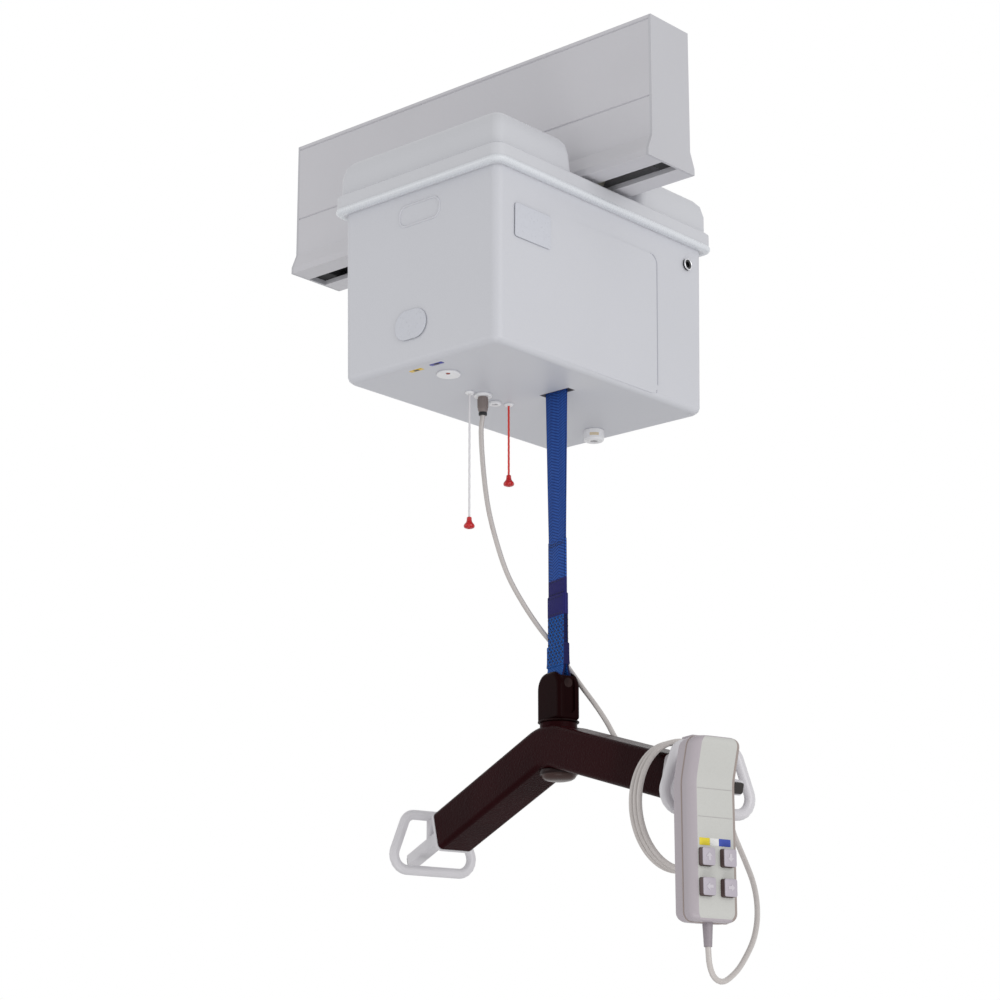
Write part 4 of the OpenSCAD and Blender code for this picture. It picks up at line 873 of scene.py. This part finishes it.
hook_white = coated("hook_white", chart(210, 208, 212), rough=0.3)
tip_dark = moulded("tip_dark", chart(30, 24, 22), rough=0.6)
ring_out, tongue_rise = 240, 4
ring = rounded([(-31, -38.2), (31, -38.2), (52, -95), (-52, -95)], [12, 12, 15, 15], 8)
rod = [(4.5 * math.cos(math.pi * k / 8), 5.2 * math.sin(math.pi * k / 8)) for k in range(16)]
for name, way in (("left", -1), ("right", 1)):
    work = bmesh.new()
    for outline, rise, stations in (
            (oblong(40.4, 40.4, 5.4), 0, ((208.8, 0), (212.4, 0), (213, 0.6))),
            (oblong(14, 13, 2.6), tongue_rise, ((210, 0), (255, 0), (292, 0), (293, 1)))):
        skin(work, [[arm_point(way, x, a * (1 - cut / 7), rise + b * (1 - cut / 7)) for a, b in outline]
                    for x, cut in stations])
    skin(work, [[bar_point(ring_out * way + a, b, z) for a, b in oblong(9, 13, 3)] for z in (-66, -42)])
    ring_line = [bar_point(ring_out * way, v, z) for v, z in ring]
    skin(work, swept(ring_line, rod, side=U, closed=True), closed=True)
    hook = piece(name + "_ring", work, hook_white)
    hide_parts(name + "_hook")
    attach(hook, "bar")
    work = bmesh.new()
    skin(work, [[arm_point(way, x, a * (1 - cut / 5), tongue_rise + b * (1 - cut / 5))
                 for a, b in oblong(10.8, 9.8, 2)] for x, cut in ((290, 0), (295.4, 0), (296.2, 0.6))])
    tip = piece(name + "_tongue_plug", work, tip_dark)
    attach(tip, "bar")

# Handset: two ABS shells, 50 x 155 x 28 mm, that meet along a seam; the front one has chamfered flanks and
# a pale face, and its head is bent forward. Its right flank is painted brown-grey as painted shade, and a
# dark line marks the seam. A moulded hook on the back hangs it on the right ring.


def hand_point(x, v, z):
    """A point on the handset's own axes, in millimetres: out from its back, across and up from its foot."""
    back, middle, foot = 267, -33, -196
    return bar_point(back + x, middle + v, foot + z)


handset_grey = moulded("handset_grey", chart(176, 168, 174), rough=0.42, grain=1.0)
handset_face = moulded("handset_face", chart(194, 194, 190), rough=0.4, grain=1.4)
tall, half, corner, fall = 155, 25, 8, 4
seam_out, front_deep = 15, 13
bend_low, bend_high, head_lean = 112, 124, 11


def lean(z):
    """How far the bent head stands forward at a height, from an eased bend to the full lean at the top."""
    ease = bend_high - bend_low
    bent = min(max(z - bend_low, 0), ease)
    slope = head_lean / (tall - (bend_low + bend_high) / 2)
    return (bent * bent / (2 * ease) + max(0, z - bend_high)) * slope


def both(side):
    """One half of a plan, (out, across) pairs, and its mirror image."""
    return side + [(x, -v) for x, v in side[::-1]]


# Each level has its height, how far the flanks draw in there, and its share of the full depth.
ends = []
for degrees in range(0, 91, 15):
    angle = math.radians(degrees)
    ends.append((corner * (1 - math.cos(angle)), corner * (1 - math.sin(angle)),
                 1 - fall * (1 - math.sin(angle)) / front_deep))
levels = ends + [(z, 0, 1) for z in (60, bend_low, 115, 118, 121, bend_high)]
levels += [(tall - z, narrow, share) for z, narrow, share in ends[::-1]]
front = [(0, half), (6.3, half), (8.2, 24.35), (10.2, 22.9), (12, 20.6), (front_deep, 18.5)]
rear = [(0, half), (-10, half), (-12.2, 24.4), (-14, 22.9), (-15, 20.4)]
shells = {}
for name, node, slot, plan, hollow in (
        ("handset_fore", "handset_front", "handset_face", front, [(13, 22), (20, 22), (25.4, 17)]),
        ("handset_rear", "handset_back", "handset_grey", rear, [(17, 22), (6, 22), (2.5, 19)])):
    work = bmesh.new()
    skin(work, [[hand_point(seam_out + x * share + lean(z), math.copysign(abs(v) - narrow, v), z)
                 for x, v in both(plan)] for z, narrow, share in levels])
    shell = piece(name, work, handset_grey, smooth=22)
    work = bmesh.new()
    skin(work, [[hand_point(x, v, z) for x, v in both(hollow)] for z in (5.5, 112)])
    bored(shell, work, smooth=22)
    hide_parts(node)
    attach(shell, "handset")
    shells[name] = shell
hook = [(1.5, 90), (1.5, 113), (9.5, 120), (-19, 166.3), (-35, 166.3), (-35, 155.8), (-32, 155.8),
        (-32, 163.3), (-22, 163.3), (-22, 153.3)]
work = bmesh.new()
skin(work, [[hand_point(x, v, z) for x, z in hook] for v in (12, 24)])
bmesh.ops.recalc_face_normals(work, faces=work.faces[:])
bmesh.ops.bevel(work, geom=work.edges[:], offset=0.7 * MM, segments=2, profile=0.5, affect="EDGES",
                clamp_overlap=True)
hanger = piece("handset_hanger", work, handset_grey)
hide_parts("handset_back")
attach(hanger, "handset")
fore = shells["handset_fore"]
key_wide, key_tall, key_gap = 13, 15, 0.3
key_places = [("key_up", -11, 53, 0), ("key_down", 11, 53, 180),
              ("key_left", -11, 28, 90), ("key_right", 11, 28, 270)]
key_hole = oblong(key_wide + 2 * key_gap, key_tall + 2 * key_gap, 1.9)
work = bmesh.new()
for name, v, z, turn in key_places:
    skin(work, [[hand_point(x, v + a, z + b) for a, b in key_hole] for x in (20, 40)])
bored(fore, work, smooth=22)
faced(fore, handset_face, U, 0.93)
handset_shade_and_seam = moulded("handset_shade_and_seam", chart(150, 136, 130), rough=0.45)
# Painted shade: the front shell's right-facing flank is painted brown-grey.
faced(fore, handset_shade_and_seam, V, 0.3)
# The seam is a dark line in the same finish.
seam_half = [(half + 0.1 - narrow, z) for z, narrow, share in levels]
seam_line = [hand_point(seam_out + lean(z), v, z)
             for v, z in seam_half + [(-v, z) for v, z in seam_half[::-1]]]
work = bmesh.new()
skin(work, swept(seam_line, circle(0.6, 8), closed=True), closed=True)
seam = piece("handset_seam", work, handset_shade_and_seam)
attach(seam, "handset")
coat(moulded("relief_grey", chart(146, 138, 144), rough=0.5), "strain_relief")

# Handset label: film strips stuck on the face, yellow, white and blue above the keys, and two fine rules;
# the place above them is bare.
film_white = moulded("film_white", chart(228, 228, 226), rough=0.3)
rule_grey = moulded("rule_grey", chart(176, 173, 172), rough=0.4)
hand_yellow = moulded("hand_yellow", chart(228, 208, 40), rough=0.35)
hand_blue = moulded("hand_blue", chart(38, 66, 166), rough=0.35)
face_out = seam_out + front_deep
for name, v, z, width, height, material in (("strip_yellow", -11.4, 66, 10.6, 6.2, hand_yellow),
                                            ("strip_white", -1.3, 66, 9.0, 6.2, film_white),
                                            ("strip_blue", 9.4, 66, 12.0, 6.2, hand_blue),
                                            ("rule_upper", 0, 111, 36, 0.5, rule_grey),
                                            ("rule_lower", 0, 87, 36, 0.5, rule_grey)):
    work = bmesh.new()
    slab(work, oblong(width, height, 0.2), hand_point(face_out, v, z), V, AXIS_Z, 0.2, ease=0.06)
    strip = piece(name, work, material)
    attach(strip, "handset")

# Keys: four moulded caps, 13 x 15 mm, that stand 6 mm out of the face on the board's switches,
# with flanks painted dark as painted shade and a raised arrow each.
key_grey = moulded("key_grey", chart(178, 171, 181), rough=0.38)
key_flank_shade = moulded("key_flank_shade", chart(78, 60, 60), rough=0.5)
arrow_pale = moulded("arrow_pale", chart(196, 191, 198), rough=0.4)
key_top = face_out + 6
key_steps = ((16.9, 0), (key_top - 0.7, 0), (key_top - 0.2, 0.25), (key_top, 0.8))
arrow = [(0, 3.6), (-3.4, 0), (-1.4, 0), (-1.4, -3.4), (1.4, -3.4), (1.4, 0), (3.4, 0)]
for name, v, z, turn in key_places:
    work = bmesh.new()
    skin(work, [[hand_point(x, v + a * (1 - 2 * cut / key_wide), z + b * (1 - 2 * cut / key_tall))
                 for a, b in oblong(key_wide, key_tall, 1.6)] for x, cut in key_steps])
    cap = piece(name + "_cap", work, key_flank_shade)
    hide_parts(name)
    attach(cap, name)
    # Only faces toward the front keep the key's grey; the flanks stay dark as painted shade.
    faced(cap, key_grey, U, 0.3)
    work = bmesh.new()
    spin = Matrix.Rotation(math.radians(turn), 2)
    slab(work, [spin @ Vector(p) for p in arrow], hand_point(key_top, v, z), V, AXIS_Z, 0.35, ease=0.15)
    sign = piece(name + "_arrow", work, arrow_pale)
    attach(sign, name)

# Studio: a plain pale floor well below the hoist, white all round,
# and three soft lamps: one ahead of the end face, one at the side and one below.


def lamp(name, place, target, size, power):
    """A square soft box that faces a point, with its power in watts."""
    light = bpy.data.lights.new(name, "AREA")
    light.size = size
    light.energy = power
    obj = bpy.data.objects.new(name, light)
    obj.location = place
    obj.rotation_euler = (Vector(target) - Vector(place)).to_track_quat("-Z", "Y").to_euler()
    scene.collection.objects.link(obj)


lamp("key_lamp", (3.0, -0.5, -0.3), (0.05, 0, -0.4), 1.8, 27)
lamp("side_lamp", (-1.0, -1.6, -0.2), (0, 0, -0.25), 0.9, 4.5)
lamp("low_lamp", (0.9, -0.9, -2.3), (0.05, 0, -0.4), 1.2, 9)
world = bpy.data.worlds.new("studio")
world.use_nodes = True
scene.world = world
sky = Shade(world.node_tree)
seen = sum(sky.node("ShaderNodeLightPath", {}, {}, ray)
           for ray in ("Is Camera Ray", "Is Glossy Ray", "Is Transmission Ray"))
backdrop = world.node_tree.nodes["Background"]
backdrop.inputs["Color"].default_value = (1, 1, 1, 1)
world.node_tree.links.new((0.62 + 0.38 * seen).socket, backdrop.inputs["Strength"])
floor_pale = moulded("floor_pale", chart(236, 236, 236), rough=0.8, grain=4.0)
floor_half, floor_top, floor_thick = 4000, -2600, 20
floor_corners = [(a * floor_half, b * floor_half) for a, b in ((-1, -1), (1, -1), (1, 1), (-1, 1))]
work = bmesh.new()
skin(work, [[Vector((x, y, z)) for x, y in floor_corners] for z in (floor_top - floor_thick, floor_top)])
floor = piece("floor", work, floor_pale)
floor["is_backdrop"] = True

low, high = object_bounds()
